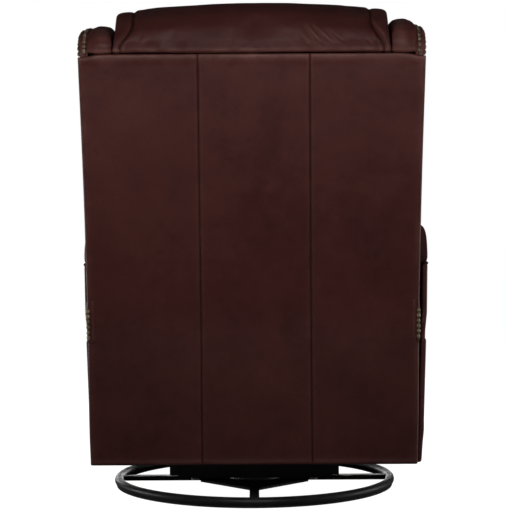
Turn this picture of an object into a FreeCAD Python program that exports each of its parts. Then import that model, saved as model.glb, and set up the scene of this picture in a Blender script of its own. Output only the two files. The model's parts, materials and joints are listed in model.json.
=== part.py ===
import FreeCAD, Part
import Sketcher
import math
import os

# Swivel glider recliner. Millimetres, +Z up, the sitter faces -Y, the floor is Z = 0 and the swivel axis is X = Y = 0.
# Left and right are the sitter's: left is +X.

doc = FreeCAD.newDocument("swivel_glider_recliner")
sheet = doc.addObject("Spreadsheet::Sheet", "dims")

DIMENSIONS = [
    # base ring and swivel bearing
    ("ring_rad", 325.0), ("ring_tube_rad", 10.5), ("ring_mid_z", 13.0),
    ("strip_half_wide", 6.0), ("strip_tall", 5.0),
    ("spoke_wide", 22.0), ("spoke_low_z", 8.0), ("spoke_tall", 11.0), ("spoke_reach", 319.0),
    ("hub_half_diag", 130.0), ("hub_low_z", 2.5), ("hub_thick", 5.5),
    ("race_rad", 75.0), ("race_ball_ring", 60.0), ("ball_rad", 4.0), ("ball_mid_z", 30.0), ("race_gap", 3.0),
    ("king_rad", 10.0), ("king_head_rad", 18.0), ("run_gap", 0.08),
    # swivelling lower frame of the glider
    ("plate_half_x", 177.0), ("plate_half_y", 165.0), ("plate_low_z", 40.0), ("plate_thick", 6.0),
    ("channel_half_x", 196.0), ("channel_near", 120.0), ("channel_far", 165.0), ("channel_top_z", 100.0),
    ("channel_wall", 4.0), ("channel_bolt_x", 138.0), ("channel_bolt_y", 145.0),
    ("side_plate_x", 168.0), ("side_plate_thick", 6.0), ("upright_top_z", 305.0),
    # swing links
    ("link_x", 176.0), ("link_thick", 6.0), ("link_len", 150.0), ("link_rad", 16.0), ("link_pivot_y", 110.0),
    ("link_top_z", 285.0), ("glide_pin_rad", 6.0), ("bush_rad", 9.0),
    # chassis on the swing links
    ("carrier_x", 184.0), ("carrier_thick", 10.0), ("carrier_half_y", 290.0), ("carrier_low_z", 118.0),
    ("carrier_top_z", 156.0), ("tube_near", 247.0), ("tube_side", 25.0),
    ("rail_x", 252.0), ("rail_thick", 5.0), ("rail_top_z", 340.0), ("rail_front_y", 375.0),
    # body of the chair
    ("hem_z", 103.0), ("front_y", 470.0), ("seat_half_x", 250.0), ("seat_front_y", 463.0), ("seat_rear_y", 115.0),
    ("seat_low_z", 377.0), ("seat_top_z", 497.0), ("seat_round", 28.0),
    ("arm_in_x", 264.0), ("arm_out_x", 388.0), ("arm_top_z", 627.0), ("arm_roll_low_z", 541.0), ("arm_rear_y", 262.0),
    ("arm_frame_x", 276.0), ("arm_frame_thick", 20.0), ("arm_panel_thick", 12.0), ("front_panel_thick", 14.5),
    ("lower_back_top_z", 388.0), ("lower_back_thick", 12.0), ("back_half_x", 362.0), ("upper_half_x", 351.5),
    # reclining back
    ("pivot_y", 322.0), ("pivot_z", 430.0), ("pivot_pin_rad", 8.0), ("wing_end_rad", 48.0), ("rake_deg", 8.5),
    ("back_len", 575.0), ("back_panel_thick", 9.0), ("stile_x", 264.0), ("stile_wide", 76.0), ("stile_deep", 60.0),
    ("bracket_x", 258.0), ("bracket_rad", 23.0), ("bracket_len", 212.0),
    ("pillow_half_x", 296.0), ("pillow_top_z", 1112.0), ("pillow_rear_y", 472.0), ("pillow_low_z", 702.0),
    ("lumbar_half_x", 258.0), ("lumbar_low_z", 484.0),
    ("wing_panel_x", 352.0), ("wing_panel_thick", 14.0), ("wing_pad_x", 297.0), ("wing_pad_thick", 54.5),
    ("nail_wide", 9.0), ("nail_inset", 5.0), ("nail_tall", 2.0),
    # footrest
    ("drive_y", 340.0), ("drive_z", 300.0), ("drive_len", 175.0), ("drive_deg", 95.0), ("torque_rad", 10.0),
    ("fold_len", 190.0), ("fold_deg", 72.0), ("footlink_rad", 14.0), ("footlink_thick", 5.0), ("footpin_rad", 5.0),
    ("drive_x", 245.0), ("fold_x", 238.0), ("footbracket_x", 231.0),
    ("board_half_x", 228.0), ("board_near", 397.0), ("board_thick", 15.0), ("board_low_z", 134.0), ("board_top_z", 334.0),
    ("foot_pad_half_x", 252.0), ("foot_pad_low_z", 128.0), ("foot_pad_top_z", 336.0), ("foot_pad_round", 18.0),
    # release handle
    ("handle_y", 150.0), ("handle_z", 396.0), ("handle_len", 128.0), ("handle_rad", 13.0), ("handle_x", 258.5),
    ("handle_thick", 4.0),
]


class Dim:
    """A size that carries its number and the formula that binds it to the sheet."""

    def __init__(self, value, text):
        self.value, self.text = float(value), text

    def __add__(self, o):
        o = dim(o)
        return Dim(self.value + o.value, "(%s + %s)" % (self.text, o.text))

    __radd__ = __add__

    def __sub__(self, o):
        o = dim(o)
        return Dim(self.value - o.value, "(%s - %s)" % (self.text, o.text))

    def __rsub__(self, o):
        return dim(o) - self

    def __mul__(self, o):
        o = dim(o)
        return Dim(self.value * o.value, "(%s * %s)" % (self.text, o.text))

    __rmul__ = __mul__

    def __truediv__(self, o):
        o = dim(o)
        return Dim(self.value / o.value, "(%s / %s)" % (self.text, o.text))

    def __neg__(self):
        return Dim(-self.value, "(-1 * %s)" % self.text)


def dim(v):
    return v if isinstance(v, Dim) else Dim(v, "%.6f" % float(v))


def dsin(a):
    return Dim(math.sin(math.radians(a.value)), "sin(%s)" % a.text)


def dcos(a):
    return Dim(math.cos(math.radians(a.value)), "cos(%s)" % a.text)


class Sizes:
    pass


D = Sizes()
for row, (alias, number) in enumerate(DIMENSIONS, start=1):
    sheet.set("A%d" % row, alias)
    sheet.set("B%d" % row, "%g" % number)
    sheet.setAlias("B%d" % row, alias)
    setattr(D, alias, Dim(number, "dims." + alias))
doc.recompute()

V = FreeCAD.Vector
NODES = []
PLUS_X = FreeCAD.Rotation(V(0, 1, 0), 90)


def bind(obj, prop, value):
    value = dim(value)
    obj.setExpression(prop, value.text)


def at(obj, x=0.0, y=0.0, z=0.0, turn=None):
    x, y, z = dim(x), dim(y), dim(z)
    obj.Placement = FreeCAD.Placement(V(x.value, y.value, z.value), turn or FreeCAD.Rotation())
    for name, value in (("x", x), ("y", y), ("z", z)):
        if "dims." in value.text:
            bind(obj, "Placement.Base." + name, value)
    return obj


def node(obj, label):
    obj.Label = label
    NODES.append(obj)
    return obj


def new(kind, name):
    return doc.addObject(kind, name)


def box(name, x0, x1, y0, y1, z0, z1):
    b = new("Part::Box", name)
    bind(b, "Length", dim(x1) - x0)
    bind(b, "Width", dim(y1) - y0)
    bind(b, "Height", dim(z1) - z0)
    return at(b, x0, y0, z0)


def rod_z(name, rad, z0, z1, x=0.0, y=0.0):
    c = new("Part::Cylinder", name)
    bind(c, "Radius", rad)
    bind(c, "Height", dim(z1) - z0)
    return at(c, x, y, z0)


def rod_x(name, rad, x0, x1, y=0.0, z=0.0):
    c = new("Part::Cylinder", name)
    bind(c, "Radius", rad)
    bind(c, "Height", dim(x1) - x0)
    return at(c, x0, y, z, PLUS_X)


def torus(name, rad, tube, z):
    t = new("Part::Torus", name)
    bind(t, "Radius1", rad)
    bind(t, "Radius2", tube)
    return at(t, 0, 0, z)


def fuse(name, *objs):
    f = new("Part::MultiFuse", name)
    f.Shapes = list(objs)
    return f


def cut(name, base, *tools):
    c = new("Part::Cut", name)
    c.Base = base
    c.Tool = tools[0] if len(tools) == 1 else fuse(name + "_tools", *tools)
    return c


def group(name, *objs):
    g = new("Part::Compound", name)
    g.Links = list(objs)
    return g


def mirror(name, src, normal=(1, 0, 0)):
    m = new("Part::Mirroring", name)
    m.Source = src
    m.Normal = normal
    m.Base = (0, 0, 0)
    return m


def plane(body, role):
    return [o for o in body.Origin.OriginFeatures if o.Role == role][0]


def coords(sk, geo, pos, x, y):
    """Ties one sketch point to its two coordinates from the sheet."""
    for kind, value in (("DistanceX", dim(x)), ("DistanceY", dim(y))):
        i = sk.addConstraint(Sketcher.Constraint(kind, -1, 1, geo, pos, value.value))
        if "dims." in value.text:
            sk.setExpression("Constraints[%d]" % i, value.text)


def polygon(sk, pts):
    pts = [(dim(a), dim(b)) for a, b in pts]
    first = sk.GeometryCount
    n = len(pts)
    for i in range(n):
        a, b = pts[i], pts[(i + 1) % n]
        sk.addGeometry(Part.LineSegment(V(a[0].value, a[1].value, 0), V(b[0].value, b[1].value, 0)), False)
    for i in range(n):
        sk.addConstraint(Sketcher.Constraint("Coincident", first + i, 2, first + (i + 1) % n, 1))
    for i in range(n):
        coords(sk, first + i, 1, *pts[i])


def ring_hole(sk, x, y, rad):
    x, y, rad = dim(x), dim(y), dim(rad)
    g = sk.addGeometry(Part.Circle(V(x.value, y.value, 0), V(0, 0, 1), rad.value), False)
    coords(sk, g, 3, x, y)
    i = sk.addConstraint(Sketcher.Constraint("Radius", g, rad.value))
    if "dims." in rad.text:
        sk.setExpression("Constraints[%d]" % i, rad.text)


def slot_outline(sk, p, q, rad):
    """A bar with round ends from p to q."""
    p, q, rad = [dim(c) for c in p], [dim(c) for c in q], dim(rad)
    a = math.atan2(q[1].value - p[1].value, q[0].value - p[0].value)
    c0, c1, r = V(p[0].value, p[1].value, 0), V(q[0].value, q[1].value, 0), rad.value
    side = V(-math.sin(a), math.cos(a), 0) * r
    h = math.pi / 2
    up = V(0, 0, 1)
    g0 = sk.addGeometry(Part.ArcOfCircle(Part.Circle(c0, up, r), a + h, a + 3 * h), False)
    g1 = sk.addGeometry(Part.LineSegment(c0 - side, c1 - side), False)
    g2 = sk.addGeometry(Part.ArcOfCircle(Part.Circle(c1, up, r), a - h, a + h), False)
    g3 = sk.addGeometry(Part.LineSegment(c1 + side, c0 + side), False)
    for m, n in ((g0, g1), (g1, g2), (g2, g3), (g3, g0)):
        sk.addConstraint(Sketcher.Constraint("Tangent", m, 2, n, 1))
    coords(sk, g0, 3, *p)
    coords(sk, g2, 3, *q)
    i = sk.addConstraint(Sketcher.Constraint("Radius", g0, r))
    if "dims." in rad.text:
        sk.setExpression("Constraints[%d]" % i, rad.text)
    sk.addConstraint(Sketcher.Constraint("Equal", g0, g2))


def plate(name, role, thick, start, draw, round_all=None):
    """A padded sketch. start is where the plate begins along the axis that the sketch plane faces."""
    body = new("PartDesign::Body", name)
    sk = body.newObject("Sketcher::SketchObject", name + "_sketch")
    sk.AttachmentSupport = [(plane(body, role), "")]
    sk.MapMode = "FlatFace"
    draw(sk)
    pad = body.newObject("PartDesign::Pad", name + "_pad")
    pad.Profile = sk
    bind(pad, "Length", thick)
    doc.recompute()
    if round_all is not None:
        fil = body.newObject("PartDesign::Fillet", name + "_round")
        fil.Base = (pad, ["Edge1"])
        fil.UseAllEdges = True
        bind(fil, "Radius", round_all)
        doc.recompute()
    if role == "YZ_Plane":
        at(body, start, 0, 0)
    elif role == "XZ_Plane":
        at(body, 0, dim(start) + thick, 0)
    else:
        at(body, 0, 0, start)
    return body


def outline(name, role, thick, start, pts, holes=(), round_all=None):
    def draw(sk):
        polygon(sk, pts)
        for hole in holes:
            ring_hole(sk, *hole)

    return plate(name, role, thick, start, draw, round_all)


def bar(name, thick, start, p, q, rad, holes=()):
    def draw(sk):
        slot_outline(sk, p, q, rad)
        for hole in holes:
            ring_hole(sk, *hole)

    return plate(name, "YZ_Plane", thick, start, draw)


# ---------------------------------------------------------------- base
ring = torus("ring", D.ring_rad, D.ring_tube_rad, D.ring_mid_z)
node(ring, "base_ring")

strip = cut("strip", rod_z("strip_out", D.ring_rad + D.strip_half_wide, 0, D.strip_tall),
            rod_z("strip_in", D.ring_rad - D.strip_half_wide, -1, D.strip_tall + 1),
            torus("strip_seat", D.ring_rad, D.ring_tube_rad, D.ring_mid_z))
node(strip, "floor_strip")

spokes = cut("spokes",
             fuse("spoke_cross",
                  box("spoke_a", -D.spoke_reach, D.spoke_reach, -D.spoke_wide / 2, D.spoke_wide / 2,
                      D.spoke_low_z, D.spoke_low_z + D.spoke_tall),
                  box("spoke_b", -D.spoke_wide / 2, D.spoke_wide / 2, -D.spoke_reach, D.spoke_reach,
                      D.spoke_low_z, D.spoke_low_z + D.spoke_tall)),
             torus("spoke_cope", D.ring_rad, D.ring_tube_rad, D.ring_mid_z),
             rod_z("spoke_bore", D.king_rad, 0, D.spoke_low_z + D.spoke_tall + 1))
node(spokes, "spoke_bars")

hub = outline("hub", "XY_Plane", D.hub_thick, D.hub_low_z,
              [(D.hub_half_diag, 0), (0, D.hub_half_diag), (-D.hub_half_diag, 0), (0, -D.hub_half_diag)],
              holes=[(0, 0, D.king_rad)])
node(hub, "hub_plate")

spoke_top = D.spoke_low_z + D.spoke_tall
race_low_top = D.ball_mid_z - D.race_gap / 2
race_up_low = D.ball_mid_z + D.race_gap / 2
lower_race = cut("lower_race", rod_z("lower_race_disc", D.race_rad, spoke_top, race_low_top),
                 rod_z("lower_race_bore", D.king_rad, spoke_top - 1, race_low_top + 1),
                 torus("lower_race_groove", D.race_ball_ring, D.ball_rad, D.ball_mid_z))
node(lower_race, "bearing_lower_race")

balls = []
for k in range(12):
    s = new("Part::Sphere", "ball_%d" % k)
    bind(s, "Radius", D.ball_rad)
    ang = dim(30.0 * k)
    at(s, D.race_ball_ring * dcos(ang), D.race_ball_ring * dsin(ang), D.ball_mid_z)
    balls.append(s)
node(group("balls", *balls), "bearing_balls")

plate_top = D.plate_low_z + D.plate_thick
king = fuse("king", rod_z("king_shank", D.king_rad, D.hub_low_z, plate_top + 1),
            rod_z("king_head", D.king_head_rad, plate_top + 0.6, plate_top + 8))
node(king, "swivel_kingpin")

# ---------------------------------------------------------------- swivelling lower frame
upper_race = cut("upper_race", rod_z("upper_race_disc", D.race_rad, race_up_low, D.plate_low_z),
                 rod_z("upper_race_bore", D.king_rad + D.run_gap, race_up_low - 1, D.plate_low_z + 1),
                 torus("upper_race_groove", D.race_ball_ring, D.ball_rad + 0.35, D.ball_mid_z))
node(upper_race, "bearing_upper_race")

bolt_spots = [(D.channel_bolt_x, D.channel_bolt_y), (-D.channel_bolt_x, D.channel_bolt_y),
              (D.channel_bolt_x, -D.channel_bolt_y), (-D.channel_bolt_x, -D.channel_bolt_y)]
top_plate = outline("top_plate", "XY_Plane", D.plate_thick, D.plate_low_z,
                    [(-D.plate_half_x, -D.plate_half_y), (D.plate_half_x, -D.plate_half_y),
                     (D.plate_half_x, D.plate_half_y), (-D.plate_half_x, D.plate_half_y)],
                    holes=[(0, 0, D.king_rad + D.run_gap)] + [(x, y, 5.0) for x, y in bolt_spots])
node(top_plate, "swivel_top_plate")

w = D.channel_wall
channel_bar = outline("channel_bar", "YZ_Plane", D.channel_half_x * 2, -D.channel_half_x,
                      [(D.channel_near, plate_top), (D.channel_far, plate_top), (D.channel_far, D.channel_top_z),
                       (D.channel_far - w, D.channel_top_z), (D.channel_far - w, plate_top + w),
                       (D.channel_near + w, plate_top + w), (D.channel_near + w, D.channel_top_z),
                       (D.channel_near, D.channel_top_z)])
rear_channel = cut("rear_channel", channel_bar,
                   *[rod_z("channel_hole_%d" % k, 5.0, plate_top - 1, plate_top + w + 1, x, y)
                     for k, (x, y) in enumerate(bolt_spots[:2])])
node(rear_channel, "glider_rear_channel")
node(mirror("front_channel", rear_channel, (0, 1, 0)), "glider_front_channel")

bolts = []
for k, (x, y) in enumerate(bolt_spots):
    bolts.append(fuse("bolt_%d" % k, rod_z("bolt_shank_%d" % k, 5.0, D.plate_low_z - 1, plate_top + w + 9, x, y),
                      rod_z("bolt_head_%d" % k, 9.0, D.plate_low_z - 7, D.plate_low_z, x, y),
                      rod_z("bolt_nut_%d" % k, 9.0, plate_top + w, plate_top + w + 7, x, y)))
node(group("bolts", *bolts), "glider_base_bolts")

py, pt = D.link_pivot_y, D.link_top_z
half = [(D.channel_near, plate_top), (D.channel_near, D.channel_top_z + 1), (py + 38, D.channel_top_z + 1),
        (py + 24, D.upright_top_z), (py - 24, D.upright_top_z), (py - 62, 170.0)]
side_pts = half + [(-a, b) for a, b in reversed(half)]
side_left = outline("side_left", "YZ_Plane", D.side_plate_thick, D.side_plate_x, side_pts,
                    holes=[(py, pt, D.glide_pin_rad), (-py, pt, D.glide_pin_rad)])
node(side_left, "glider_side_plate_left")
node(mirror("side_right", side_left), "glider_side_plate_right")

link_far = D.link_x + D.link_thick
pins = []
for k, (sy) in enumerate((1, -1)):
    p = fuse("top_pin_%d" % k,
             rod_x("top_pin_shank_%d" % k, D.glide_pin_rad, D.side_plate_x - 4, link_far + 3, py * sy, pt),
             rod_x("top_pin_head_%d" % k, D.glide_pin_rad + 5, link_far + 2, link_far + 6, py * sy, pt),
             rod_x("top_pin_nut_%d" % k, D.glide_pin_rad + 5, D.side_plate_x - 6, D.side_plate_x, py * sy, pt))
    pins += [p, mirror("top_pin_right_%d" % k, p)]
node(group("upper_pins", *pins), "glide_upper_pins")

# ---------------------------------------------------------------- swing links
low = pt - D.link_len
for word, sy in (("front", -1), ("rear", 1)):
    y = py * sy
    one = bar("swing_%s" % word, D.link_thick, D.link_x, (y, low), (y, pt), D.link_rad,
              holes=[(y, low, D.bush_rad), (y, pt, D.bush_rad)])
    node(one, "swing_link_%s_left" % word)
    node(mirror("swing_%s_right" % word, one), "swing_link_%s_right" % word)
    sleeves = []
    for k, z in enumerate((low, pt)):
        b = cut("bush_%s_%d" % (word, k),
                rod_x("bush_out_%s_%d" % (word, k), D.bush_rad, D.link_x - 0.6, link_far + 0.6, y, z),
                rod_x("bush_in_%s_%d" % (word, k), D.glide_pin_rad + D.run_gap, D.link_x - 2, link_far + 2, y, z))
        sleeves += [b, mirror("bush_right_%s_%d" % (word, k), b)]
    node(group("bushes_%s" % word, *sleeves), "%s_link_bushes" % word)

# ---------------------------------------------------------------- chassis
carrier_far = D.carrier_x + D.carrier_thick
carrier = outline("carrier", "YZ_Plane", D.carrier_thick, D.carrier_x,
                  [(-D.carrier_half_y, D.carrier_low_z), (D.carrier_half_y, D.carrier_low_z),
                   (D.carrier_half_y, D.carrier_top_z), (-D.carrier_half_y, D.carrier_top_z)],
                  holes=[(py, low, D.glide_pin_rad), (-py, low, D.glide_pin_rad)])
node(carrier, "carrier_rail_left")
node(mirror("carrier_mirror", carrier), "carrier_rail_right")

pins = []
for k, sy in enumerate((1, -1)):
    p = fuse("low_pin_%d" % k,
             rod_x("low_pin_shank_%d" % k, D.glide_pin_rad, D.link_x - 0.8, carrier_far + 1, py * sy, low),
             rod_x("low_pin_head_%d" % k, D.glide_pin_rad + 5, carrier_far, carrier_far + 5, py * sy, low))
    pins += [p, mirror("low_pin_right_%d" % k, p)]
node(group("lower_pins", *pins), "glide_lower_pins")

for word, sy in (("front", -1), ("rear", 1)):
    y0 = D.tube_near if sy > 0 else -(D.tube_near + D.tube_side)
    t = cut("cross_%s" % word,
            box("cross_out_%s" % word, -D.rail_x, D.rail_x, y0, y0 + D.tube_side, D.carrier_top_z,
                D.carrier_top_z + D.tube_side),
            box("cross_in_%s" % word, -D.rail_x - 1, D.rail_x + 1, y0 + 2, y0 + D.tube_side - 2, D.carrier_top_z + 2,
                D.carrier_top_z + D.tube_side - 2))
    node(t, "cross_tube_%s" % word)

tube_lug = D.tube_near - 10
rail = outline("rail", "YZ_Plane", D.rail_thick, D.rail_x,
               [(-D.rail_front_y, D.drive_z - 38), (-D.rail_front_y, D.rail_top_z), (150.0, D.rail_top_z),
                (D.pivot_y - 52, D.pivot_z + 24), (D.pivot_y + 22, D.pivot_z + 24), (D.pivot_y + 22, D.pivot_z - 24),
                (D.pivot_y - 20, D.pivot_z - 32), (D.tube_near + 38, D.rail_top_z - 10),
                (D.tube_near + 38, D.carrier_top_z - 6), (tube_lug, D.carrier_top_z - 6), (tube_lug - 22, 240.0),
                (-tube_lug + 22, 240.0), (-tube_lug, D.carrier_top_z - 6), (-D.tube_near - 38, D.carrier_top_z - 6),
                (-D.tube_near - 44, D.drive_z - 38)],
               holes=[(-D.drive_y, D.drive_z, D.torque_rad + D.run_gap), (D.pivot_y, D.pivot_z, D.pivot_pin_rad)])
node(rail, "mechanism_rail_left")
node(mirror("rail_mirror", rail), "mechanism_rail_right")

rail_far = D.rail_x + D.rail_thick
pin = fuse("back_pin", rod_x("back_pin_shank", D.pivot_pin_rad, D.rail_x - 1, D.bracket_x + 7, D.pivot_y, D.pivot_z),
           rod_x("back_pin_head", D.pivot_pin_rad + 5, D.rail_x - 6, D.rail_x, D.pivot_y, D.pivot_z))
node(group("back_pins", pin, mirror("back_pin_right", pin)), "back_pivot_pins")

# arm frames: a ply panel with a window, and a cleat that meets the mechanism rail
panel = outline("arm_ply", "YZ_Plane", D.arm_frame_thick, D.arm_frame_x,
                [(-D.front_y + 18, D.hem_z + 9), (D.arm_rear_y - 2, D.hem_z + 9), (D.arm_rear_y - 2, D.arm_roll_low_z - 1),
                 (-D.front_y + 18, D.arm_roll_low_z - 1)])
arm_frame = cut("arm_frame", fuse("arm_frame_solid", panel,
                                  box("arm_cleat", rail_far, D.arm_frame_x, -250.0, 200.0, 280.0, 330.0)),
                box("arm_window", D.arm_frame_x - 1, D.arm_frame_x + D.arm_frame_thick + 1, -370.0, 180.0, 350.0, 470.0),
                box("arm_window_low", D.arm_frame_x - 1, D.arm_frame_x + D.arm_frame_thick + 1, -370.0, 180.0, 180.0, 265.0))
node(arm_frame, "arm_frame_left")
node(mirror("arm_frame_mirror", arm_frame), "arm_frame_right")

ai, ao, at_z, ar = D.arm_in_x, D.arm_out_x, D.arm_top_z, D.arm_roll_low_z
pad_inside = D.arm_frame_x - 0.5
arm_pad = outline("arm_pad", "XZ_Plane", D.front_y - 15 + D.arm_rear_y, -D.front_y + 15,
                  [(ai, D.seat_low_z - 5), (pad_inside, D.seat_low_z - 5), (pad_inside, ar), (ao - 8, ar), (ao - 1, ar + 14),
                   (ao, ar + 38), (ao - 6, at_z - 22), (ao - 26, at_z - 6), (ao - 62, at_z), (ai + 26, at_z - 6),
                   (ai + 6, at_z - 22), (ai, ar + 38)])
node(arm_pad, "arm_pad_left")
node(mirror("arm_pad_mirror", arm_pad), "arm_pad_right")

side = [(ao - 2, ar - 1), (ao - 4, 380.0), (ao - 10, 175.0), (ao - 20, D.hem_z)]
side += [(a - D.arm_panel_thick, b) for a, b in reversed(side)]
outside_solid = outline("outside_solid", "XZ_Plane", D.front_y - 15 + D.pivot_y + 35, -D.front_y + 15, side)
outside = cut("arm_outside", outside_solid,
              box("outside_notch", ao - 60, ao + 10, D.arm_rear_y + 4, D.pivot_y + 60, D.pivot_z, ar + 20),
              rod_x("outside_scoop", D.wing_end_rad + 6, ao - 60, ao + 10, D.pivot_y, D.pivot_z))
node(outside, "arm_outside_left")
node(mirror("arm_outside_mirror", outside), "arm_outside_right")

face_pts = [(ai - 6, D.hem_z), (ao - 20, D.hem_z), (ao - 10, 175.0), (ao - 4, 380.0), (ao - 2, ar), (ao, ar + 38),
            (ao - 6, at_z - 20), (ao - 26, at_z - 4), (ao - 62, at_z + 2), (ai + 24, at_z - 4), (ai + 2, at_z - 22),
            (ai - 6, ar + 30)]
front_panel = outline("front_panel", "XZ_Plane", D.front_panel_thick, -D.front_y, face_pts)
node(front_panel, "arm_front_panel_left")
node(mirror("front_panel_mirror", front_panel), "arm_front_panel_right")


def trim_band(name, points, to_3d, push, keep=None):
    """A flat strip that follows an outline at a fixed distance inside its edge."""
    wire = Part.makePolygon([to_3d(a.value, b.value) for a, b in points + points[:1]])
    outer = wire.makeOffset2D(-D.nail_inset.value)
    inner = wire.makeOffset2D(-D.nail_inset.value - D.nail_wide.value)
    solid = Part.Face(outer).cut(Part.Face(inner)).extrude(push)
    if keep is not None:
        solid = solid.common(keep)
    return solid


def feature(name, shape):
    f = new("Part::Feature", name)
    f.Shape = shape
    return f


face_dims = [(dim(a), dim(b)) for a, b in face_pts]
above = Part.makeBox(1000, 2000, 2000, V(0, -1500, D.hem_z.value + 22))
band = feature("arm_band", trim_band("arm_band", face_dims, lambda a, b: V(a, -D.front_y.value, b),
                                     V(0, -D.nail_tall.value, 0), above))
node(group("arm_nails", band, mirror("arm_band_mirror", band)), "arm_nail_trim")

deck_top = D.seat_low_z - 6
deck = fuse("deck",
            box("deck_front", -D.seat_half_x, D.seat_half_x, -D.seat_front_y + 30, -D.seat_front_y + 60, D.rail_top_z + 1, deck_top),
            box("deck_rear", -D.seat_half_x, D.seat_half_x, D.seat_rear_y - 30, D.seat_rear_y, D.rail_top_z + 1, deck_top),
            box("deck_left", D.seat_half_x - 28, D.seat_half_x, -D.seat_front_y + 55, D.seat_rear_y - 25, D.rail_top_z + 1, deck_top),
            box("deck_right", -D.seat_half_x, -D.seat_half_x + 28, -D.seat_front_y + 55, D.seat_rear_y - 25, D.rail_top_z + 1, deck_top))
node(deck, "seat_deck_frame")


def sinuous(x, y0, y1, z, wide, rows, rad):
    """One zigzag seat spring: straight runs across, joined by half circles."""
    pitch = (y1 - y0) / (rows - 1)
    edges = []
    for k in range(rows):
        y = y0 + k * pitch
        s = 1 if k % 2 == 0 else -1
        edges.append(Part.makeLine(V(x - s * wide, y, z), V(x + s * wide, y, z)))
        if k < rows - 1:
            edges.append(Part.Arc(V(x + s * wide, y, z), V(x + s * (wide + pitch / 2), y + pitch / 2, z),
                                  V(x + s * wide, y + pitch, z)).toShape())
    path = Part.Wire(edges)
    ring_wire = Part.Wire(Part.makeCircle(rad, V(x - wide, y0, z), V(1, 0, 0)))
    return path.makePipeShell([ring_wire], True, False)


wire_z = D.seat_low_z.value - 3.4
springs = []
for k, x in enumerate((-160.0, -80.0, 0.0, 80.0, 160.0)):
    springs.append(feature("spring_%d" % k, sinuous(x, -D.seat_front_y.value + 40, D.seat_rear_y.value - 12, wire_z, 12.0, 15, 1.9)))
node(group("springs", *springs), "seat_springs")

seat = outline("seat", "XY_Plane", D.seat_top_z - D.seat_low_z, D.seat_low_z,
               [(-D.seat_half_x, -D.seat_front_y), (D.seat_half_x, -D.seat_front_y), (D.seat_half_x, D.seat_rear_y),
                (-D.seat_half_x, D.seat_rear_y)], round_all=D.seat_round)
node(seat, "seat_cushion")

back_plane_y = D.pivot_y + D.wing_end_rad
lower_back = box("lower_back", -D.back_half_x, D.back_half_x, back_plane_y - D.lower_back_thick, back_plane_y, D.hem_z,
                 D.lower_back_top_z)
node(lower_back, "outside_back_lower")

# release handle between the seat cushion and the sitter's right arm
hy, hz = -D.handle_y, D.handle_z
bracket = outline("handle_bracket", "YZ_Plane", D.rail_thick, -rail_far,
                  [(hy - 25, D.rail_top_z), (hy + 25, D.rail_top_z), (hy + 14, hz + 16), (hy - 14, hz + 16)])
handle_pin = rod_x("handle_pin", D.footpin_rad, -(D.handle_x + D.handle_thick + 0.8), -D.rail_x, hy, hz)
node(fuse("handle_mount", bracket, handle_pin), "release_bracket")

grip = bar("grip", D.handle_thick, -(D.handle_x + D.handle_thick), (hy, hz), (hy, hz + D.handle_len), D.handle_rad,
           holes=[(hy, hz, D.footpin_rad + D.run_gap)])
node(grip, "release_handle")

# ---------------------------------------------------------------- reclining back
sn, cs = dsin(D.rake_deg), dcos(D.rake_deg)
LEAN = FreeCAD.Rotation(V(1, 0, 0), -D.rake_deg.value)


def on_back(run, depth):
    """A point on the leaning back: run is up the slope, depth is in from the rear face."""
    return (back_plane_y + sn * run - cs * depth, D.pivot_z + cs * run + sn * depth)


def lean_box(name, x0, x1, run0, run1, depth0, depth1):
    b = new("Part::Box", name)
    bind(b, "Length", dim(x1) - x0)
    bind(b, "Width", dim(depth1) - depth0)
    bind(b, "Height", dim(run1) - run0)
    y, z = on_back(dim(run0), dim(depth1))
    at(b, x0, y, z, LEAN)
    return b


stile_in, stile_out = D.stile_x, D.stile_x + D.stile_wide
deep0, deep1 = dim(14.0), 14.0 + D.stile_deep
members = [lean_box("stile_left", stile_in, stile_out, 22.0, D.back_len - 15, deep0, deep1),
           lean_box("stile_right", -stile_out, -stile_in, 22.0, D.back_len - 15, deep0, deep1),
           lean_box("back_rail_low", -(D.bracket_x - 0.5), D.bracket_x - 0.5, 60.0, 120.0, deep0, deep1),
           lean_box("back_rail_mid", -stile_in, stile_in, 270.0, 315.0, deep0, deep1),
           lean_box("back_rail_top", -stile_in, stile_in, D.back_len - 65, D.back_len - 15, deep0, deep1)]
node(group("back_members", *members), "back_frame")

strap = bar("strap", 5.0, D.bracket_x, (D.pivot_y, D.pivot_z),
            (D.pivot_y + sn * D.bracket_len, D.pivot_z + cs * D.bracket_len), D.bracket_rad,
            holes=[(D.pivot_y, D.pivot_z, D.pivot_pin_rad + D.run_gap)])
node(group("straps", strap, mirror("strap_right", strap)), "back_brackets")

upper_back = lean_box("upper_back", -D.upper_half_x, D.upper_half_x, 0.0, D.back_len, 0.0, D.back_panel_thick)
node(upper_back, "outside_back_upper")

frame_front = deep1 + 1.5
lz = D.lumbar_low_z


def front_of_frame(z):
    """Where the front of the back frame is at a given height."""
    run = (dim(z) - D.pivot_z - sn * frame_front) / cs
    return back_plane_y + sn * run - cs * frame_front


lumbar = outline("lumbar", "YZ_Plane", D.lumbar_half_x * 2, -D.lumbar_half_x,
                 [(124.0, lz), (112.0, lz + 50), (108.0, lz + 100), (116.0, lz + 160), (134.0, D.pillow_low_z - 2),
                  (front_of_frame(D.pillow_low_z - 2), D.pillow_low_z - 2), (front_of_frame(lz), lz)])
node(lumbar, "lumbar_cushion")

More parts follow.
